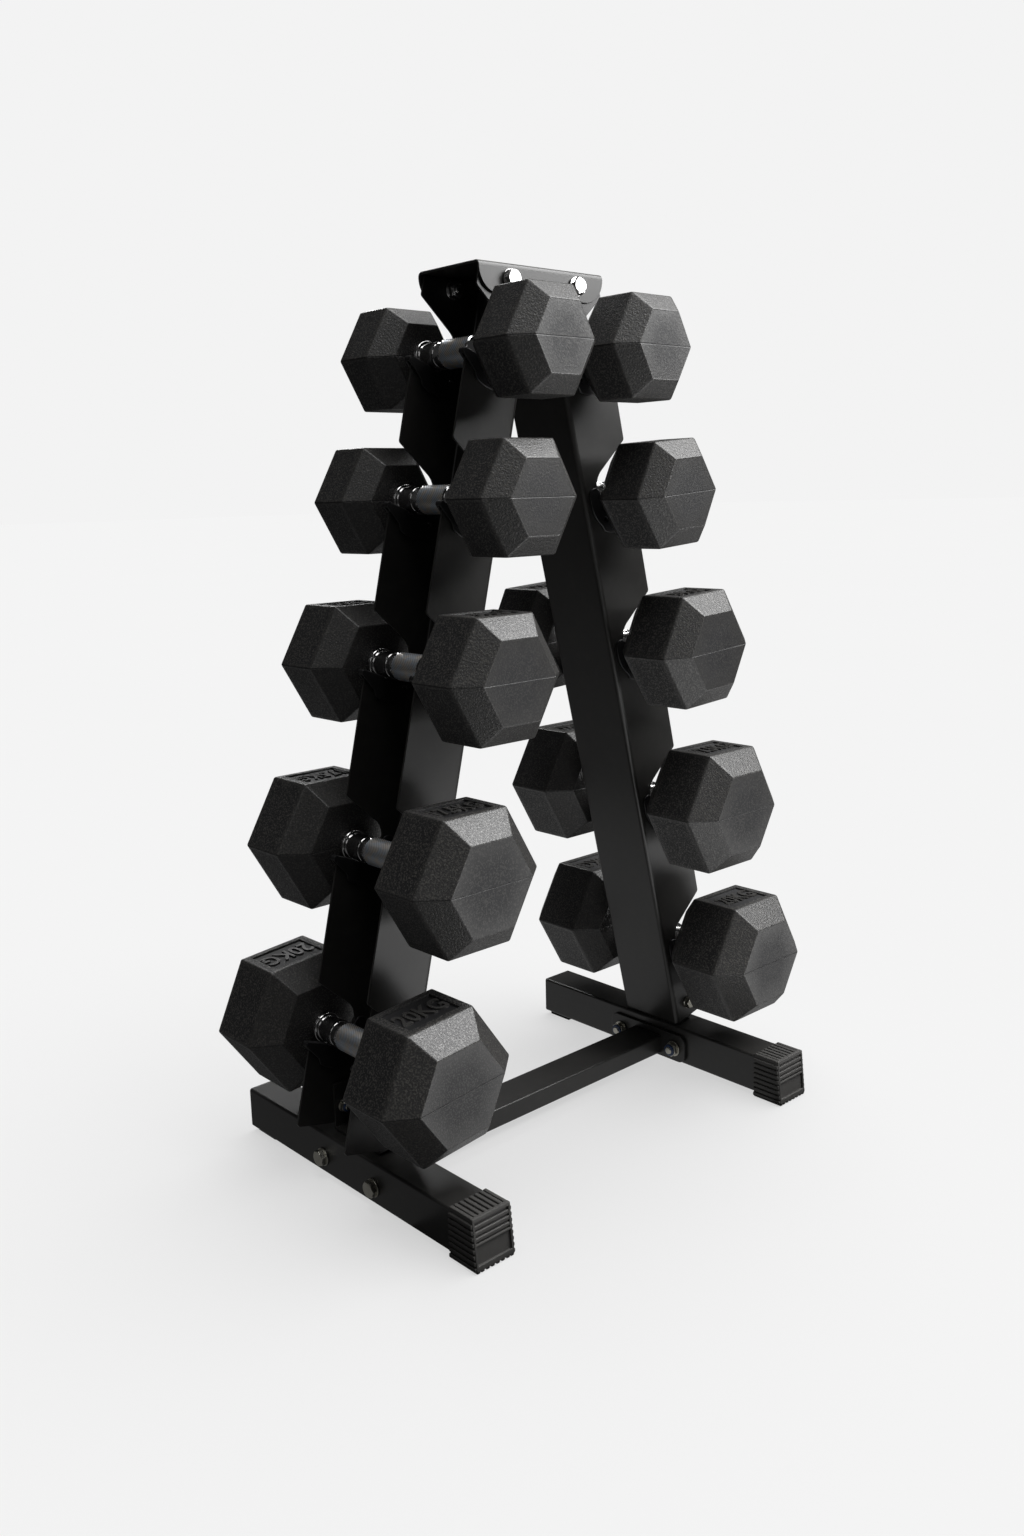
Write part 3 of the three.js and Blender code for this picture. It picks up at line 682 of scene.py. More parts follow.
# %% A head with its numerals
def head(side, tier, end):
    """Hexagons whose apothem follows the profile, with the panel's floor pushed down."""
    across, reach = head_size(side, tier)
    a, shoulder = across / 2, reach - CHAMFER[tier]
    profile = head_profile(across, reach, shoulder)
    panel = SHOULDER + PANEL_MARGIN, shoulder - PANEL_MARGIN
    stops = np.concatenate([panel[0] + PANEL_ROWS, panel[1] - PANEL_ROWS[::-1]])
    rows = points_of(stops, a)
    split = int(np.searchsorted(profile[:, 0], stops[0], side="left"))
    profile = np.concatenate([profile[:split], rows, profile[split:]])
    y, apothem = profile.T
    rounding = np.where((y <= GRIP_HALF + 1e-6) & (apothem <= NECK), apothem, EDGE_RADIUS)
    ring = hexagon(apothem, rounding)
    grid = ring.shape[:2]
    sunk, rim = np.zeros(grid, dtype=bool), np.zeros(grid, dtype=bool)
    sunk[split + 2 : split + 4, TOP_FLAT + 3 : TOP_FLAT + 6] = True
    rim[split + 1 : split + 5, TOP_FLAT + 2 : TOP_FLAT + 7] = True
    ring[..., 1] -= PANEL_DEPTH * sunk
    centre = handle_centre(side, tier)
    along = (MID_Y + end * y)[:, None]
    shell = loft(points_of(ring[..., 0] + centre[0], along, ring[..., 1] + centre[1]))
    label = panel_label(side, tier, end, panel, centre[1] + a)

    # roundings are marked as edges, which the rubber paints paler: part wear, part painted
    # highlight
    corner_column = (np.arange(grid[1]) % PER_SIDE) <= CORNER_STEPS
    edge = np.broadcast_to(corner_column[None, :], grid) * (apothem > NECK)[:, None]
    edge_rows = np.zeros(len(y), dtype=bool)
    near = np.linalg.norm(np.diff(profile, axis=0), axis=1) < EDGE_RADIUS
    edge_rows[1:] |= near
    edge_rows[:-1] |= near
    edge_rows[split : split + 2 * len(PANEL_ROWS)] = False
    # the panel's rim is marked too, so it is painted paler as a painted highlight
    edge = np.maximum(edge, edge_rows[:, None]) | (rim & ~sunk)
    plain = ((y >= reach - 0.01)[:, None] | sunk).astype(float) + 0.6 * sunk
    on_shell = {"drop": shell[0][:, 2] - centre[1], "edge": edge, "plain": plain}
    # numerals get edge 2, which paints them paler still as a painted highlight
    on_label = {"drop": OFF_SEAM, "edge": 2.0, "plain": 1.6}
    attributes = {}
    for key, values in on_shell.items():
        written = np.full(len(label[0]), on_label[key])
        attributes[key] = np.concatenate([values.astype(float).reshape(-1), written])
    shells = [(rolled(points, side, tier, centre), faces) for points, faces in (shell, label)]
    name = f"head_{side}_{tier}_{'front' if end < 0 else 'back'}"
    body = f"dumbbell_{side}_{tier}"
    return piece(name, shells, body, attributes=attributes)


for side, tier in DUMBBELLS:
    for end_name, end in ENDS.items():
        made = head(side, tier, end)
        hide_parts(f"dumbbell_rubber_{side}_{tier}_{end_name}")
        paint(made, HEAD_RUBBER)
print("faces of the last head:", len(made.data.polygons))

# %% [markdown]
# ## The handles
# A handle is turned from bar: a knurled middle, a groove on each side of it, a ring, a plain
# neck and a stepped collar against the head. All of it is one radius that depends on the
# distance along the bar, plus the knurl's diamonds, which are high where the row and column
# numbers add up to an even number and low elsewhere.

# %% Turned handles
AROUND = 64
GRIP_RADIUS = 16.0
KNURL_ROWS = np.arange(-22, 22.01, 1.6)
KNURL_DEPTH = 0.35
TURNED = [  # distance from the middle and radius
    (23.2, GRIP_RADIUS - 0.1), (23.8, GRIP_RADIUS - 1.4), (33.4, GRIP_RADIUS - 1.4),
    (34.0, GRIP_RADIUS - 0.1), (41.8, GRIP_RADIUS - 0.1), (42.4, GRIP_RADIUS - 0.8),
    (56.2, GRIP_RADIUS - 0.8), (56.8, 17.2), (57.8, 18.0), (59.6, 18.0), (60.0, 16.9),
    (61.2, 16.9), (61.6, 18.0), (64.9, 18.0),
]


# %% A handle and its knurl
def handle(side, tier):
    """Rings of radius r(y); knurl rows alternate by half a diamond."""
    x, z = handle_centre(side, tier)
    half, rows = np.array(TURNED), len(KNURL_ROWS)
    y = np.concatenate([-half[::-1, 0], KNURL_ROWS, half[:, 0]])
    grip = np.full(rows, GRIP_RADIUS - KNURL_DEPTH)
    radius = np.concatenate([half[::-1, 1], grip, half[:, 1]])
    knurled = np.zeros(len(y))
    knurled[len(half) : len(half) + rows] = 1
    turn = np.arange(AROUND) / AROUND * 2 * np.pi
    odd = (np.arange(len(y))[:, None] + np.arange(AROUND)[None, :]) % 2
    grid = radius[:, None] + knurled[:, None] * KNURL_DEPTH * (1 - 2 * odd)
    rings = points_of(x + grid * np.cos(turn), (MID_Y + y)[:, None], z + grid * np.sin(turn))
    made = piece(
        f"handle_{side}_{tier}",
        [loft(rings)],
        f"dumbbell_{side}_{tier}",
        [f"dumbbell_bar_{side}_{tier}"],
        smooth=50,
        attributes={"valley": (odd * knurled[:, None]).reshape(-1)},
    )
    made.data.materials.append(CHROME.material)
    made.data.materials.append(KNURL.material)
    faces = np.zeros(len(made.data.polygons), dtype=np.int32)
    first = len(half) * AROUND
    faces[first : first + (rows - 1) * AROUND] = 1
    made.data.polygons.foreach_set("material_index", faces)
    return made


for side, tier in DUMBBELLS:
    made = handle(side, tier)
print("faces of a handle:", len(made.data.polygons))

# %% [markdown]
# ## The channels
# Each upright is one sheet folded into a channel. It is drawn flat in its own axes, depth
# outward from the web and distance up the channel, then leaned over and set on its tube. The
# flanges are plates with the notches cut into their outline; the web and its two bends are
# one section carried up the channel.

# %% Sizes of the channel
LEAN = math.radians(13.8)
FOOT = np.array([236.4, 56.4])
WIDTH = 93.0
DEPTH = 83.4
SHEET = 2.5
BEND = 5.0
UPRIGHT_TOP = 1004.0
HANDLE_DEPTH = 51.0
TIER_ALONG = [109, 321, 530, 716, 877]
NOTCH_RADIUS = 26.0
THROAT_RADIUS = 22.0
MOUTH_SLOPE = math.radians(28.5)
PEG = (-24.0, -23.0, 3.0)  # depth and distance from the handle, and radius, of the peg's hole


# %% A leaning piece of the rack
def rack_piece(name, shells, node, finish):
    """A piece of one finish that rides on the rack and stands for one CAD part."""
    made = piece(name, shells, "rack", [node])
    paint(made, finish)
    return made


def leaned(shell, sign):
    """Points (depth, y, along) turned by the lean and set at the channel's foot."""
    points, faces = shell
    depth, y, along = points.T
    x = sign * (FOOT[0] + depth * math.cos(LEAN) - along * math.sin(LEAN))
    z = FOOT[1] + depth * math.sin(LEAN) + along * math.cos(LEAN)
    return points_of(x, y + MID_Y, z), faces


def channel_top(depth):
    """Where a level cut at the top meets the channel at this depth."""
    return (UPRIGHT_TOP - FOOT[1] - depth * math.sin(LEAN)) / math.cos(LEAN)


# %% Flanges with notches
def notch(along):
    """Outline of one notch, from the hook's tip round the seat and up the sloped throat."""
    lip = math.degrees(math.asin(-16 / NOTCH_RADIUS))
    seat = arc(HANDLE_DEPTH, along, NOTCH_RADIUS, lip, -180, 28)
    throat = arc(HANDLE_DEPTH - 4, along + 12.6, THROAT_RADIUS, 180, 118.5, 12)
    last = throat[-1]
    run = DEPTH - last[0]
    tip = fillet([(DEPTH, along - 24), (DEPTH, along - 16), seat[0]], [4], 5)
    corner = (DEPTH, last[1] + run * math.tan(MOUTH_SLOPE))
    mouth = fillet([last, corner, (DEPTH, last[1] + run + 9)], [4], 5)
    return np.concatenate([tip, seat, throat, mouth[1:-1]])


def flange_outline():
    """Up the outer edge with its notches, across the top and back down the bend's line."""
    outer = [np.array([[DEPTH - 3, 0], [DEPTH, 3]])]
    outer += [notch(along) for along in TIER_ALONG]
    top = np.array([[DEPTH, channel_top(DEPTH)], [BEND, channel_top(BEND)], [BEND, 0]])
    return np.concatenate([*outer, top])


# %% The whole channel
def web_section():
    """The web with its two bends: the outside one way, then the inside back."""
    far, r = WIDTH / 2 - BEND, BEND - SHEET
    outer = [arc(BEND, -far, BEND, -90, -180, 5), arc(BEND, far, BEND, 180, 90, 5)]
    inner = [arc(BEND, far, r, 90, 180, 5), arc(BEND, -far, r, 180, 270, 5)]
    return np.concatenate(outer + inner)


def upright(side):
    """Two flanges with their notches and peg holes, and the web between them."""
    outline = flange_outline()
    inward, down, radius = PEG
    holes = [arc(HANDLE_DEPTH + inward, along + down, radius, 0, 345, 23) for along in TIER_ALONG]
    shells = [plate(outline, w, w + SHEET, 0.45, holes) for w in (-WIDTH / 2, WIDTH / 2 - SHEET)]
    depth, y = web_section().T
    shells.append(loft([points_of(depth, y, 0.0), points_of(depth, y, channel_top(depth))]))
    shells = [leaned(shell, SIDES[side]) for shell in shells]
    node = f"upright_{side}"
    return rack_piece(f"channel_{side}", shells, node, POWDER_COAT)


for side in SIDES:
    print(side, "channel faces:", len(upright(side).data.polygons))

# %% [markdown]
# ## The saddles
# A moulded liner hooks over each pair of notches, so that the chromed handle never touches
# the coated steel. It has a clip on each flange, with a cheek on either face of the steel,
# and a strap behind the handle keeps the two clips together.

# %% Saddle outlines, drawn about the handle's centre
BORE = 16.4
CHEEK = 2.5
LINER_RADIUS = 25.6


def seat_arc():
    return arc(0, 0, BORE, -180, -54, 20)


def tongue():
    return arc(35.5, -13.1, 3.5, 90, -50, 8)


def cheek_outline():
    """Seat, tongue, the belly under the seat, and the arm that clips round the web side."""
    belly = arc(-6, 0, 42.3, -60, -122, 14)
    flank = arc(0, 0, 42.5, -136, -180, 9)
    arm = arc(-34, 8, 8.5, 180, 0, 12)
    root, rest = [[18.7, -29.7]], [[-17.4, 3.2]]
    return np.concatenate([seat_arc(), tongue(), root, belly, flank, arm, rest])


def trough_outline():
    """The part that lines the notch itself, from one flange to the other."""
    lip = math.degrees(math.asin(-15.6 / LINER_RADIUS))
    under = arc(0, 0, LINER_RADIUS, lip, -180, 24)
    back = [[-LINER_RADIUS, 6.0], [-22, 6.6]]
    return np.concatenate([seat_arc(), tongue(), [[35.5, -15.6]], under, back])


def strap_outline():
    """A short arc on the web's side of the handle, which joins the two clips."""
    return np.concatenate([arc(0, 0, LINER_RADIUS, 168, 198, 5), arc(0, 0, 17.2, 198, 168, 5)])


# %% A saddle on both flanges
def saddle(side, tier):
    """A clip on each flange: two cheeks, and between them the part that fills the notch."""
    outer = WIDTH / 2 + 0.4
    inner = WIDTH / 2 - SHEET - 0.4
    hole = [arc(*PEG, 0, 345, 23)]
    shells = [plate(strap_outline(), -inner + CHEEK - 0.5, inner - CHEEK + 0.5, 0.5)]
    for end in (-1, 1):
        span = sorted((end * (inner - CHEEK + 0.15), end * (outer + CHEEK - 0.15)))
        shells.append(plate(trough_outline(), *span, 0.5))
        for near, far in ((inner - CHEEK, inner), (outer, outer + CHEEK)):
            span = sorted((end * near, end * far))
            shells.append(plate(cheek_outline(), *span, 0.8, hole, 3))
    shells = [moved(shell, (HANDLE_DEPTH, 0, TIER_ALONG[tier - 1])) for shell in shells]
    shells = [leaned(shell, SIDES[side]) for shell in shells]
    node = f"saddle_{side}_{tier}"
    return rack_piece(f"liner_{side}_{tier}", shells, node, NYLON)


for side, tier in DUMBBELLS:
    made = saddle(side, tier)
print("faces of a saddle:", len(made.data.polygons))

# %% [markdown]
# ## Base tubes, foot brackets and crossbar
# Square tube has small round corners from rolling, which draw a fine bright line along every
# edge. A folded bracket is welded on each tube and stands inside the channel, a heel under
# the tube's back end levels it with the rubber cap, and plates close the crossbar's ends.

# %% Sections of the base rails
TUBE = 50.0
TUBE_WALL, TUBE_ROUND = 2.5, 3.2
TUBE_Z = (6.0, 56.0)
TUBE_Y = (-205.0 + MID_Y, 204.0 + MID_Y)
TUBE_MID = 257.0


def tube_rings(stations, centre_x, centre_z):
    """Outer rings front to back, then inner rings back to front, for a wall all round."""
    bore = TUBE - 2 * TUBE_WALL
    outer = rounded_rect(TUBE, TUBE, TUBE_ROUND)
    inner = rounded_rect(bore, bore, TUBE_ROUND - TUBE_WALL)
    rings = []
    for outline, ys in ((outer, stations), (inner, stations[::-1])):
        x, z = (outline + (centre_x, centre_z)).T
        rings += [points_of(x, y, z) for y in ys]
    return np.array(rings)


def box_outline(x0, x1, z0, z1):
    return np.array([(x0, z0), (x1, z0), (x1, z1), (x0, z1)])


def foot_bracket(sign):
    """A strip folded into a U: base on the tube, two tabs that stand inside the flanges."""
    half, t, r = WIDTH / 2 - SHEET - 0.4, 4.0, 5.0
    z0, z1 = TUBE_Z[1], 112.0
    outer = fillet([(-half, z1), (-half, z0), (half, z0), (half, z1)], [r, r], 5)
    far = half - t
    inner = fillet([(far, z1), (far, z0 + t), (-far, z0 + t), (-far, z1)], [r - t, r - t], 5)
    outline = np.concatenate([outer, inner])
    x0, x1 = sorted((sign * 243.0, sign * 268.0))
    return moved(plate_across(outline, x0, x1, 0.6), (0, MID_Y, 0))


# %% The rails
def base_rail(side):
    """The tube, the plate that closes its back end, the heel and the foot bracket."""
    x, z = SIDES[side] * TUBE_MID, sum(TUBE_Z) / 2
    y0, y1 = TUBE_Y
    shells = [
        loft(tube_rings([y0, y1 - 3], x, z), wrap=True),
        plate(rounded_rect(TUBE, TUBE, TUBE_ROUND) + (x, z), y1 - 3.2, y1, 0.7),
        plate(box_outline(x - 18, x + 18, 0, TUBE_Z[0] + 0.5), y1 - 42, y1 - 4, 1.0),
        foot_bracket(SIDES[side]),
    ]
    return rack_piece(f"rail_{side}", shells, f"base_rail_{side}", POWDER_COAT)


for side in SIDES:
    print(side, "rail faces:", len(base_rail(side).data.polygons))

# %% Crossbar with its end plates
BAR_HALF = 231.6
BAR_SECTION = 50, 25
BAR_Z = 24.5
PLATE_THICK = 4.0
PLATE_SIZE = 132, 38
PLATE_Z = 27.0


def ring_across(section, x):
    """A section drawn in y and z, set square to X at x; y counts from the rack's middle."""
    return points_of(x, section[:, 0] + MID_Y, section[:, 1])


def crossbar():
    section = rounded_rect(*BAR_SECTION, 2.6) + (0, BAR_Z)
    inside = BAR_HALF - PLATE_THICK
    shells = [loft([ring_across(section, x) for x in (-inside, inside)])]
    ends = rounded_rect(*PLATE_SIZE, 11, 8) + (MID_Y, PLATE_Z)
    for low in (-BAR_HALF, inside):
        shells.append(plate_across(ends, low, low + PLATE_THICK, 0.7))
    return rack_piece("tie_bar", shells, "crossbar", POWDER_COAT)


print("crossbar faces:", len(crossbar().data.polygons))

# %% [markdown]
# ## Ribbed caps
# A soft cap is pushed over each tube's front end. It is a smooth core with a plain border at
# the front and rows of rounded ribs: lengthwise on the top, the sides and underneath, and
# across the upper half of the front, above a smooth sunken panel.

# %% Front caps
(_, CAP_FRONT, _), (_, CAP_BACK, CAP_TOP) = node_box("front_cap_left")
CAP_HALF = 27.8
CAP_FLARE = 6.0
RIB, PROUD, RIB_ROUND = 4.6, 2.2, 1.2  # a rib's width, height and rounding
RIBS = 8  # on each of the top, the sides and the underside
RIB_PITCH, SIDE_PITCH, SIDE_LOWEST = 7.0, 6.6, 4.6
FRONT_RIBS = 35.2, 41.8, 48.4  # heights of the ribs across the front


def cap_front(z):
    """The front face leans out towards the floor."""
    return CAP_FRONT + CAP_FLARE * z / CAP_TOP


# %% One rib
def rib(start, end, across, up):
    """A bar with a rounded back from start to end; across and up are its section's axes."""
    start, end, across, up = (np.asarray(v, dtype=float) for v in (start, end, across, up))
    length = np.linalg.norm(end - start)
    along = (end - start) / length
    half = RIB / 2
    corners = [(-half, -1.0), (-half, PROUD), (half, PROUD), (half, -1.0)]
    section = fillet(corners, [RIB_ROUND, RIB_ROUND], 4)
    stations = [(0.0, 0.55), (0.5, 0.9), (1.2, 1.0)]
    stations += [(length - distance, scale) for distance, scale in stations[::-1]]
    rings = []
    for distance, scale in stations:
        u = section[:, 0] * (0.5 + 0.5 * scale)
        w = np.where(section[:, 1] > 0, section[:, 1] * scale, section[:, 1])
        rings.append(start + along * distance + u[:, None] * across + w[:, None] * up)
    return loft(rings)


# %% The cap's border and the cap
def cap_face(x, half):
    """The front border: a sheet that follows the lean, with a window for the ribs and one
    below it for the smooth panel."""
    low, high, wall = PROUD + 0.3, CAP_TOP, 3.0
    shape = rounded_rect(2 * half, high - low, 1.6) + (x, (high + low) / 2)
    sides = x - half + wall, x + half - wall
    windows = [box_outline(*sides, 8.5, 29), box_outline(*sides, 31.5, high - 4.5)]
    points, faces = plate(shape, 0, 4.4, 0.9, windows)
    lean = np.zeros_like(points)
    lean[:, 1] = cap_front(points[:, 2])
    return points + lean, faces


def cap(side):
    """A core whose side view is the profile, the front border, then the ribs."""
    x = SIDES[side] * TUBE_MID
    core, sunk = CAP_HALF - PROUD, PROUD + 0.4
    top, bottom = CAP_TOP - PROUD, PROUD
    profile = [(CAP_BACK, bottom), (CAP_BACK, top)]
    profile += [(cap_front(CAP_TOP) + sunk, top), (cap_front(PROUD) + sunk, bottom)]
    shells = [plate_across(profile, x - core, x + core, 0.6)]
    shells.append(cap_face(x, core + 0.5))
    along_x, along_z = (1, 0, 0), (0, 0, 1)
    for i in range(RIBS):
        across = x + float(np.clip((i - 3.5) * RIB_PITCH, -core + 2.4, core - 2.4))
        for z, end, up in ((top, 3.5, 1), (bottom, 0.6, -1)):
            face = cap_front(z) + end
            shells.append(rib((across, CAP_BACK, z), (across, face, z), along_x, (0, 0, up)))
        z = SIDE_LOWEST + i * SIDE_PITCH
        for out in (-1, 1):
            at = x + out * core
            shells.append(rib((at, CAP_BACK, z), (at, cap_front(z) + 0.8, z), along_z, (out, 0, 0)))
    for z in FRONT_RIBS:
        y = cap_front(z) + sunk
        shells.append(rib((x - core + 2, y, z), (x + core - 2, y, z), along_z, (0, -1, 0)))
    return rack_piece(f"boot_{side}", shells, f"front_cap_{side}", CAP_RUBBER)


for side in SIDES:
    print(side, "cap faces:", len(cap(side).data.polygons))

# %% [markdown]
# ## Top bracket
# One folded plate caps both uprights. Its two flanges hang down outside the channels, with
# large round lower corners, and bolts pass through flange and channel.

# %% Top bracket
BRACKET_HALF = 94.0
BRACKET_Z = (975.5, 1008.0)
BRACKET_SHEET = 3.0
BRACKET_BEND = 5.0
BRACKET_RIM = 0.45


def top_bracket():
    """Two flanges, and between them the top with its bends as one section along X."""
    inside = WIDTH / 2 + 0.4
    outside = inside + BRACKET_SHEET
    low, high = BRACKET_Z
    half, r = BRACKET_HALF, BRACKET_BEND
    far, z, r_in = outside - r, high - r, r - BRACKET_SHEET
    bottom = fillet([(-half, z), (-half, low), (half, low), (half, z)], [27, 27], 12)
    flanges = [plate(bottom, v, v + BRACKET_SHEET, 0.5) for v in (-outside, inside)]
    shells = [moved(flange, (0, MID_Y, 0)) for flange in flanges]
    outer = [arc(far, z, r, 0, 90, 6), arc(-far, z, r, 90, 180, 6)]
    inner = [arc(-far, z, r_in, 180, 90, 6), arc(far, z, r_in, 90, 0, 6)]
    section = np.concatenate(outer + inner)
    ends = [(-half, BRACKET_RIM), (-half + BRACKET_RIM, 0.0)]
    ends += [(half - BRACKET_RIM, 0.0), (half, BRACKET_RIM)]
    shells.append(loft([ring_across(inset(section, shrink), x) for x, shrink in ends]))
    return rack_piece("bridge_plate", shells, "top_bracket", POWDER_COAT)


print("top bracket faces:", len(top_bracket().data.polygons))

# %% [markdown]
# ## Bolts and nuts
# A bolt's head is a hexagon whose corners are turned off at 30 degrees, so its radius is the
# smaller of the hexagon's and a cone's. A locking nut is the same with a nylon ring in its
# mouth, and the thread that shows past it is a radius that rises and falls with the pitch.


# %% Fastener shapes
THREAD_DEPTH = 0.8


def hex_radius(turn, across):
    """Distance from the middle to a hexagon's side, at each angle."""
    folded = (turn + np.pi / 6) % (np.pi / 3) - np.pi / 6
    return across / 2 / np.cos(folded)


def all_round(count):
    """Angles evenly spaced round a full turn."""
    return np.linspace(0, 2 * np.pi, count, endpoint=False)


def turned(radius, level, turn):
    """Rings round Z: at each level a radius, or one radius for each angle."""
    return points_of(radius * np.cos(turn), radius * np.sin(turn), np.reshape(level, (-1, 1)))


# %% Heads, washers and threads
def turned_hex(across, height, base=0.0, both=False):
    """Hexagon prism of radius min(hexagon, cone), with a slightly domed top."""
    turn = all_round(72)
    crown = across / 2 * 0.96
    slope = math.tan(math.radians(60))
    level = np.array([[0, 0.001, 0.4, 0.8, 0.9, 0.96, 1.0]]).T * height
    cone = crown + (height - level) * slope
    if both:
        cone = np.minimum(cone, crown + level * slope + 0.4)
    sides = turned(np.minimum(hex_radius(turn, across), cone), base + level, turn)
    share = np.array([[0.8, 0.4, 0.1]]).T
    dome = turned(crown * share, base + height + np.array([0.04, 0.1, 0.12]), turn)
    return loft(np.concatenate([sides, dome]))


def disc(radius, base, height, rim=0.4):
    """A washer or ring turned from a half-section with chamfered rims, all the way round."""
    top, bore = base + height, 0.5
    section = [(bore, base), (radius - rim, base), (radius, base + rim)]
    section += [(radius, top - rim), (radius - rim, top), (bore, top)]
    r, level = np.array(section).T
    return loft(turned(r[:, None], level, all_round(48)))


def thread(radius, base, length, pitch=1.5):
    """A screw: radius falls by the thread's depth as the pitch's fraction goes up and down."""
    turn = all_round(40)
    level = np.arange(0, length + 1e-6, pitch / 6)
    phase = (level[:, None] / pitch - turn[None, :] / (2 * np.pi)) % 1
    r = radius - THREAD_DEPTH * np.abs(2 * phase - 1)
    r = np.minimum(r, radius - THREAD_DEPTH + (length - level[:, None]) * 1.2)
    return loft(turned(r, base + level, turn))


def set_on(shell, origin, direction, spin=0.0):
    """Stands a shape drawn along +Z on a point, pointing along direction."""
    points, faces = shell
    tilt = Vector((0, 0, 1)).rotation_difference(Vector(direction)).to_matrix()
    turn = np.array(tilt @ Matrix.Rotation(spin, 3, "Z"))
    return points @ turn.T + np.asarray(origin, dtype=float), faces


# %% [markdown]
# Ten-millimetre bolts hold the crossbar and the top bracket, eight-millimetre ones the foot
# brackets. The heads are outside, the locking nuts inside, with a washer under each.

# %% A bolt with its nut
M10 = dict(radius=5.0, across=17.0, head=6.6, nut=9.0, washer=10.5)
M8 = dict(radius=4.0, across=13.0, head=5.5, nut=7.0, washer=8.0)
WASHER = 2.0


def bolt(name, head_at, nut_at, size, finish, stands_for, spin):
    """head_at and nut_at are the faces that the two washers press on."""
    head_at, nut_at = np.asarray(head_at, dtype=float), np.asarray(nut_at, dtype=float)
    grip = float(np.linalg.norm(head_at - nut_at))
    out = (head_at - nut_at) / grip
    radius, across, nut = size["radius"], size["across"], size["nut"]
    washer = disc(size["washer"], 0.05, WASHER, 0.35)
    insert = disc(across / 2 * 0.93, WASHER + nut * 0.7, nut * 0.3, 0.9)
    tip = thread(radius - 0.1, WASHER + nut * 0.8, nut * 0.2 + 1.5)
    shells = [
        set_on(washer, head_at, out),
        set_on(turned_hex(across, size["head"], WASHER), head_at, out, spin),
        set_on(disc(radius, -0.2, grip + 0.2, 0.1), nut_at, out),
        set_on(washer, nut_at, -out),
        set_on(turned_hex(across, nut * 0.72, WASHER, True), nut_at, -out, spin + 0.6),
        set_on(insert, nut_at, -out),
        set_on(tip, nut_at, -out),
    ]
    made = piece(name, shells, "rack", [stands_for], smooth=30)
    made.data.materials.append(finish.material)
    made.data.materials.append(LOCK_BLUE.material)
    counts = [len(shell[1]) for shell in shells]
    index = np.zeros(sum(counts), dtype=np.int32)
    if finish is ZINC:
        index[sum(counts[:5]) : sum(counts[:6])] = 1
    if len(made.data.polygons) == len(index):
        made.data.polygons.foreach_set("material_index", index)
    return made


# %% Fit the bolts
# Each row: name, CAD part, size, finish, slot, and where head and nut press, as distances from
# the rack's middle in x and y and the height z.
FACE, TAB = WIDTH / 2, WIDTH / 2 - SHEET - 0.4 - 4
FASTENERS = [
    ("crossbar_bolt", "base_bolt", M10, ZINC, "zinc_fastener",
     (282.2, 47.5, 26), (227.4, 47.5, 26)),
    ("bridge_bolt", "top_bolt", M10, CHROME, "chrome_fastener",
     (50, FACE + 3.6, 991.5), (50, FACE - SHEET - 0.2, 991.5)),
    ("bracket_bolt", "foot_bolt", M8, ZINC, "zinc_fastener",
     (256, FACE + 0.2, 84.5), (256, TAB - 0.2, 84.5)),
]
SPINS = iter(np.linspace(0.1, 5.9, 12) ** 1.7)
for side, sign in SIDES.items():
    for end_name, end in ENDS.items():
        for name, node, size, finish, slot, *faces in FASTENERS:
            head_at, nut_at = ((sign * x, MID_Y + end * y, z) for x, y, z in faces)
            corner = f"{side}_{end_name}"
            names = f"{name}_{corner}", f"{node}_{corner}"
            bolt(names[0], head_at, nut_at, size, finish, names[1], next(SPINS))

# %% [markdown]
# ## Floor, light and camera
# Black objects are mostly drawn by what they reflect, so each light here is placed where
# one set of faces mirrors it. A wide disc of light overhead makes the pale floor even and gives
# the soft shadow. A square box at the front right is what the heads' end faces and upper chamfers
# reflect, a tall strip at the back rims the left heads, a weak box stands at the left, and low
# sheets give back what the floor would. Those lights reach the rack only, by light linking.
# The backdrop is as pale as the floor but lights next to nothing, so black stays black.

# %% Pale floor
PALE = 0.896  # radiance of the unshaded floor, and of the backdrop over it
GLOW = 0.59  # the share of it that no shadow can take away


FLOOR_HALF, FLOOR_POINTS = 60.0, 25  # metres each way, and points along each side


def floor_finish():
    glow = dict(Emission_Color=(GLOW, GLOW, GLOW, 1), Emission_Strength=1.0)
    f = Finish("pale floor", Specular_IOR_Level=0.0, Roughness=1.0, **glow)
    f.feed("Base Color", f.blend(f.noise(1500, 2), (0.299,) * 3, (0.305,) * 3))
    return f


def floor():
    """A level sheet: x and y are spaced as the cube of an even grid, finest under the rack."""
    spaced = FLOOR_HALF * np.linspace(-1, 1, FLOOR_POINTS) ** 3
    x, y = np.meshgrid(spaced, spaced, indexing="ij")
    points = points_of(x, y, 0.0).reshape(-1, 3)
    n = FLOOR_POINTS
    corner = (np.arange(n - 1)[:, None] * n + np.arange(n - 1)).reshape(-1)
    quads = points_of(corner, corner + n, corner + n + 1, corner + 1)
    mesh = bpy.data.meshes.new("studio_floor")
    mesh.from_pydata(points.tolist(), [], quads.tolist())
    sheet = bpy.data.objects.new("studio_floor", mesh)
    bpy.context.scene.collection.objects.link(sheet)
    sheet.visible_glossy = False
    sheet.visible_diffuse = False
    paint(sheet, floor_finish())
    return sheet


FLOOR = floor()


# %% Lamps and what they reach
lit_by_all = bpy.data.collections.new("rack and dumbbells")
for obj in bpy.context.scene.objects:
    if obj.type == "MESH" and obj is not FLOOR:
        lit_by_all.objects.link(obj)


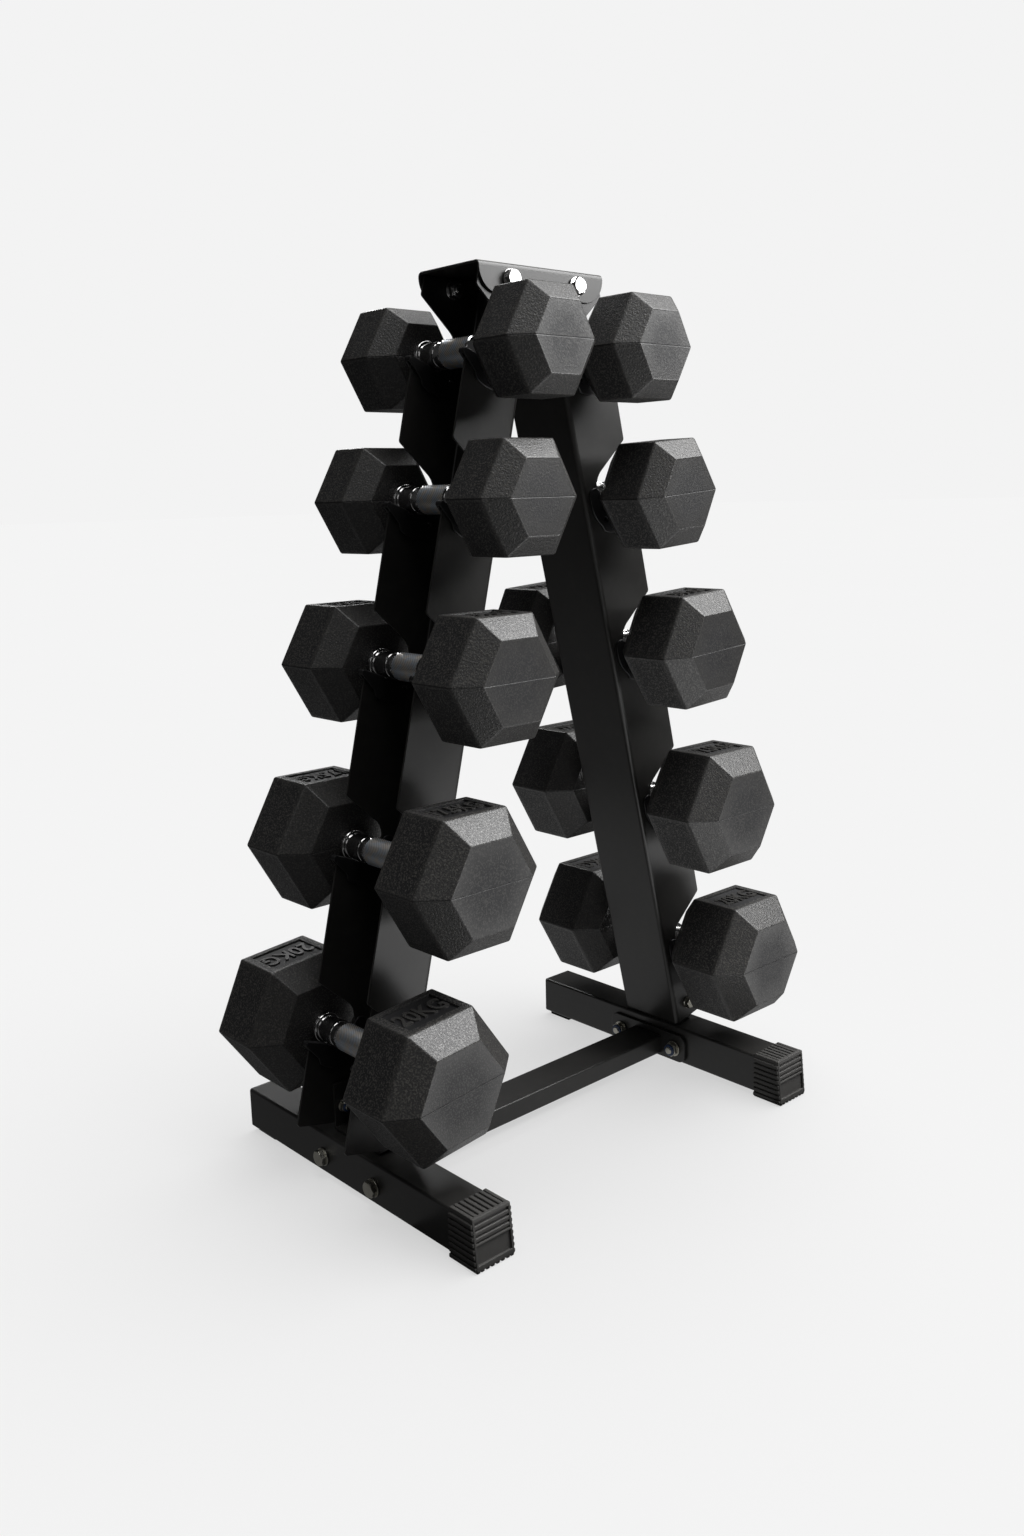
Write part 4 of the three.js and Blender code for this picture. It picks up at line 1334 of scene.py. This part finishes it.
def area_light(name, place, target, width, height, radiance):
    """A soft box at place, facing target, which lights the rack and not the floor.

    Its power is pi times its area times the radiance of its face."""
    lamp = bpy.data.lights.new(name, "AREA")
    lamp.shape = "RECTANGLE"
    lamp.size, lamp.size_y = width, height
    lamp.energy = math.pi * width * height * radiance
    obj = bpy.data.objects.new(name, lamp)
    obj.location = place
    obj.rotation_euler = (Vector(target) - Vector(place)).to_track_quat("-Z", "Y").to_euler()
    obj.visible_camera = False
    obj.light_linking.receiver_collection = lit_by_all
    bpy.context.scene.collection.objects.link(obj)
    return obj


def sky_light(name, direction, spread, strength):
    """Even light from a wide disc of sky around direction, the same all over the floor."""
    lamp = bpy.data.lights.new(name, "SUN")
    lamp.angle = math.radians(spread)
    lamp.energy = strength
    lamp.specular_factor = 0.0
    obj = bpy.data.objects.new(name, lamp)
    obj.rotation_euler = (-Vector(direction)).to_track_quat("-Z", "Y").to_euler()
    bpy.context.scene.collection.objects.link(obj)
    return obj


# %% The lamps
sky_light("soft top", (0.25, -0.1, 1.0), 70, 3.3)
area_light("soft box at the front right", (0.8, -0.9, 1.65), (0, 0, 0.6), 1.35, 1.35, 7.5)
area_light("tall strip at the back", (0.8, 1.8, 2.0), (0, 0, 0.6), 0.35, 0.9, 11.0)
area_light("weak box at the left", (-2.3, -0.3, 1.9), (0, 0, 0.5), 1.2, 1.2, 0.5)
BOUNCE = {(0.45, -1.1): 1.7, (0.6, 0.6): 0.35, (-1.05, 0.7): 0.1, (-1.2, -0.9): 0.12}
for (x, y), radiance in BOUNCE.items():
    area_light("bounce off the floor", (x, y, 0.004), (x, y, 1), 1.6, 1.6, radiance)
print("lamps:", len(bpy.data.lights))

# %% Backdrop
DIM = 0.03  # what the backdrop lights the rack with
world = bpy.data.worlds.new("pale studio")
world.use_nodes = True
backdrop = world.node_tree.nodes["Background"]
seen = world.node_tree.nodes.new("ShaderNodeLightPath").outputs["Is Camera Ray"]
level = world.node_tree.nodes.new("ShaderNodeMapRange")
level.inputs["To Min"].default_value = DIM
level.inputs["To Max"].default_value = PALE
world.node_tree.links.new(seen, level.inputs["Value"])
world.node_tree.links.new(level.outputs["Result"], backdrop.inputs["Strength"])
backdrop.inputs["Color"].default_value = (1, 1, 1, 1)
bpy.context.scene.world = world
bpy.context.scene.view_settings.view_transform = "Standard"

# %% [markdown]
# The camera looks slightly down at the rack's front left corner. Its shift is small: it only
# sets the rack a little left of the middle.

# %% Camera
CAMERA_PLACE = np.array([-1.0358, -1.0964 + MID_Y * MM, 0.7671])
AZIMUTH, ELEVATION, CAMERA_ROLL = (math.radians(v) for v in (-41.56, 11.71, -1.55))
level_part = math.cos(ELEVATION)
back = np.array([
    math.sin(AZIMUTH) * level_part, -math.cos(AZIMUTH) * level_part, math.sin(ELEVATION)
])
right = np.cross(-back, [0, 0, 1])
right /= np.linalg.norm(right)
up = np.cross(right, -back)
camera_x = math.cos(CAMERA_ROLL) * right + math.sin(CAMERA_ROLL) * up
camera_y = -math.sin(CAMERA_ROLL) * right + math.cos(CAMERA_ROLL) * up
lens = bpy.data.cameras.new("studio camera")
lens.sensor_width = 36
lens.lens = 30.04
lens.shift_x = 0.0195
lens.shift_y = -0.0044
lens.clip_end = 100
camera = bpy.data.objects.new("studio camera", lens)
pose = np.eye(4)
pose[:3, :3] = points_of(camera_x, camera_y, back)
pose[:3, 3] = CAMERA_PLACE
camera.matrix_world = Matrix(pose.tolist())
bpy.context.scene.collection.objects.link(camera)
bpy.context.scene.camera = camera
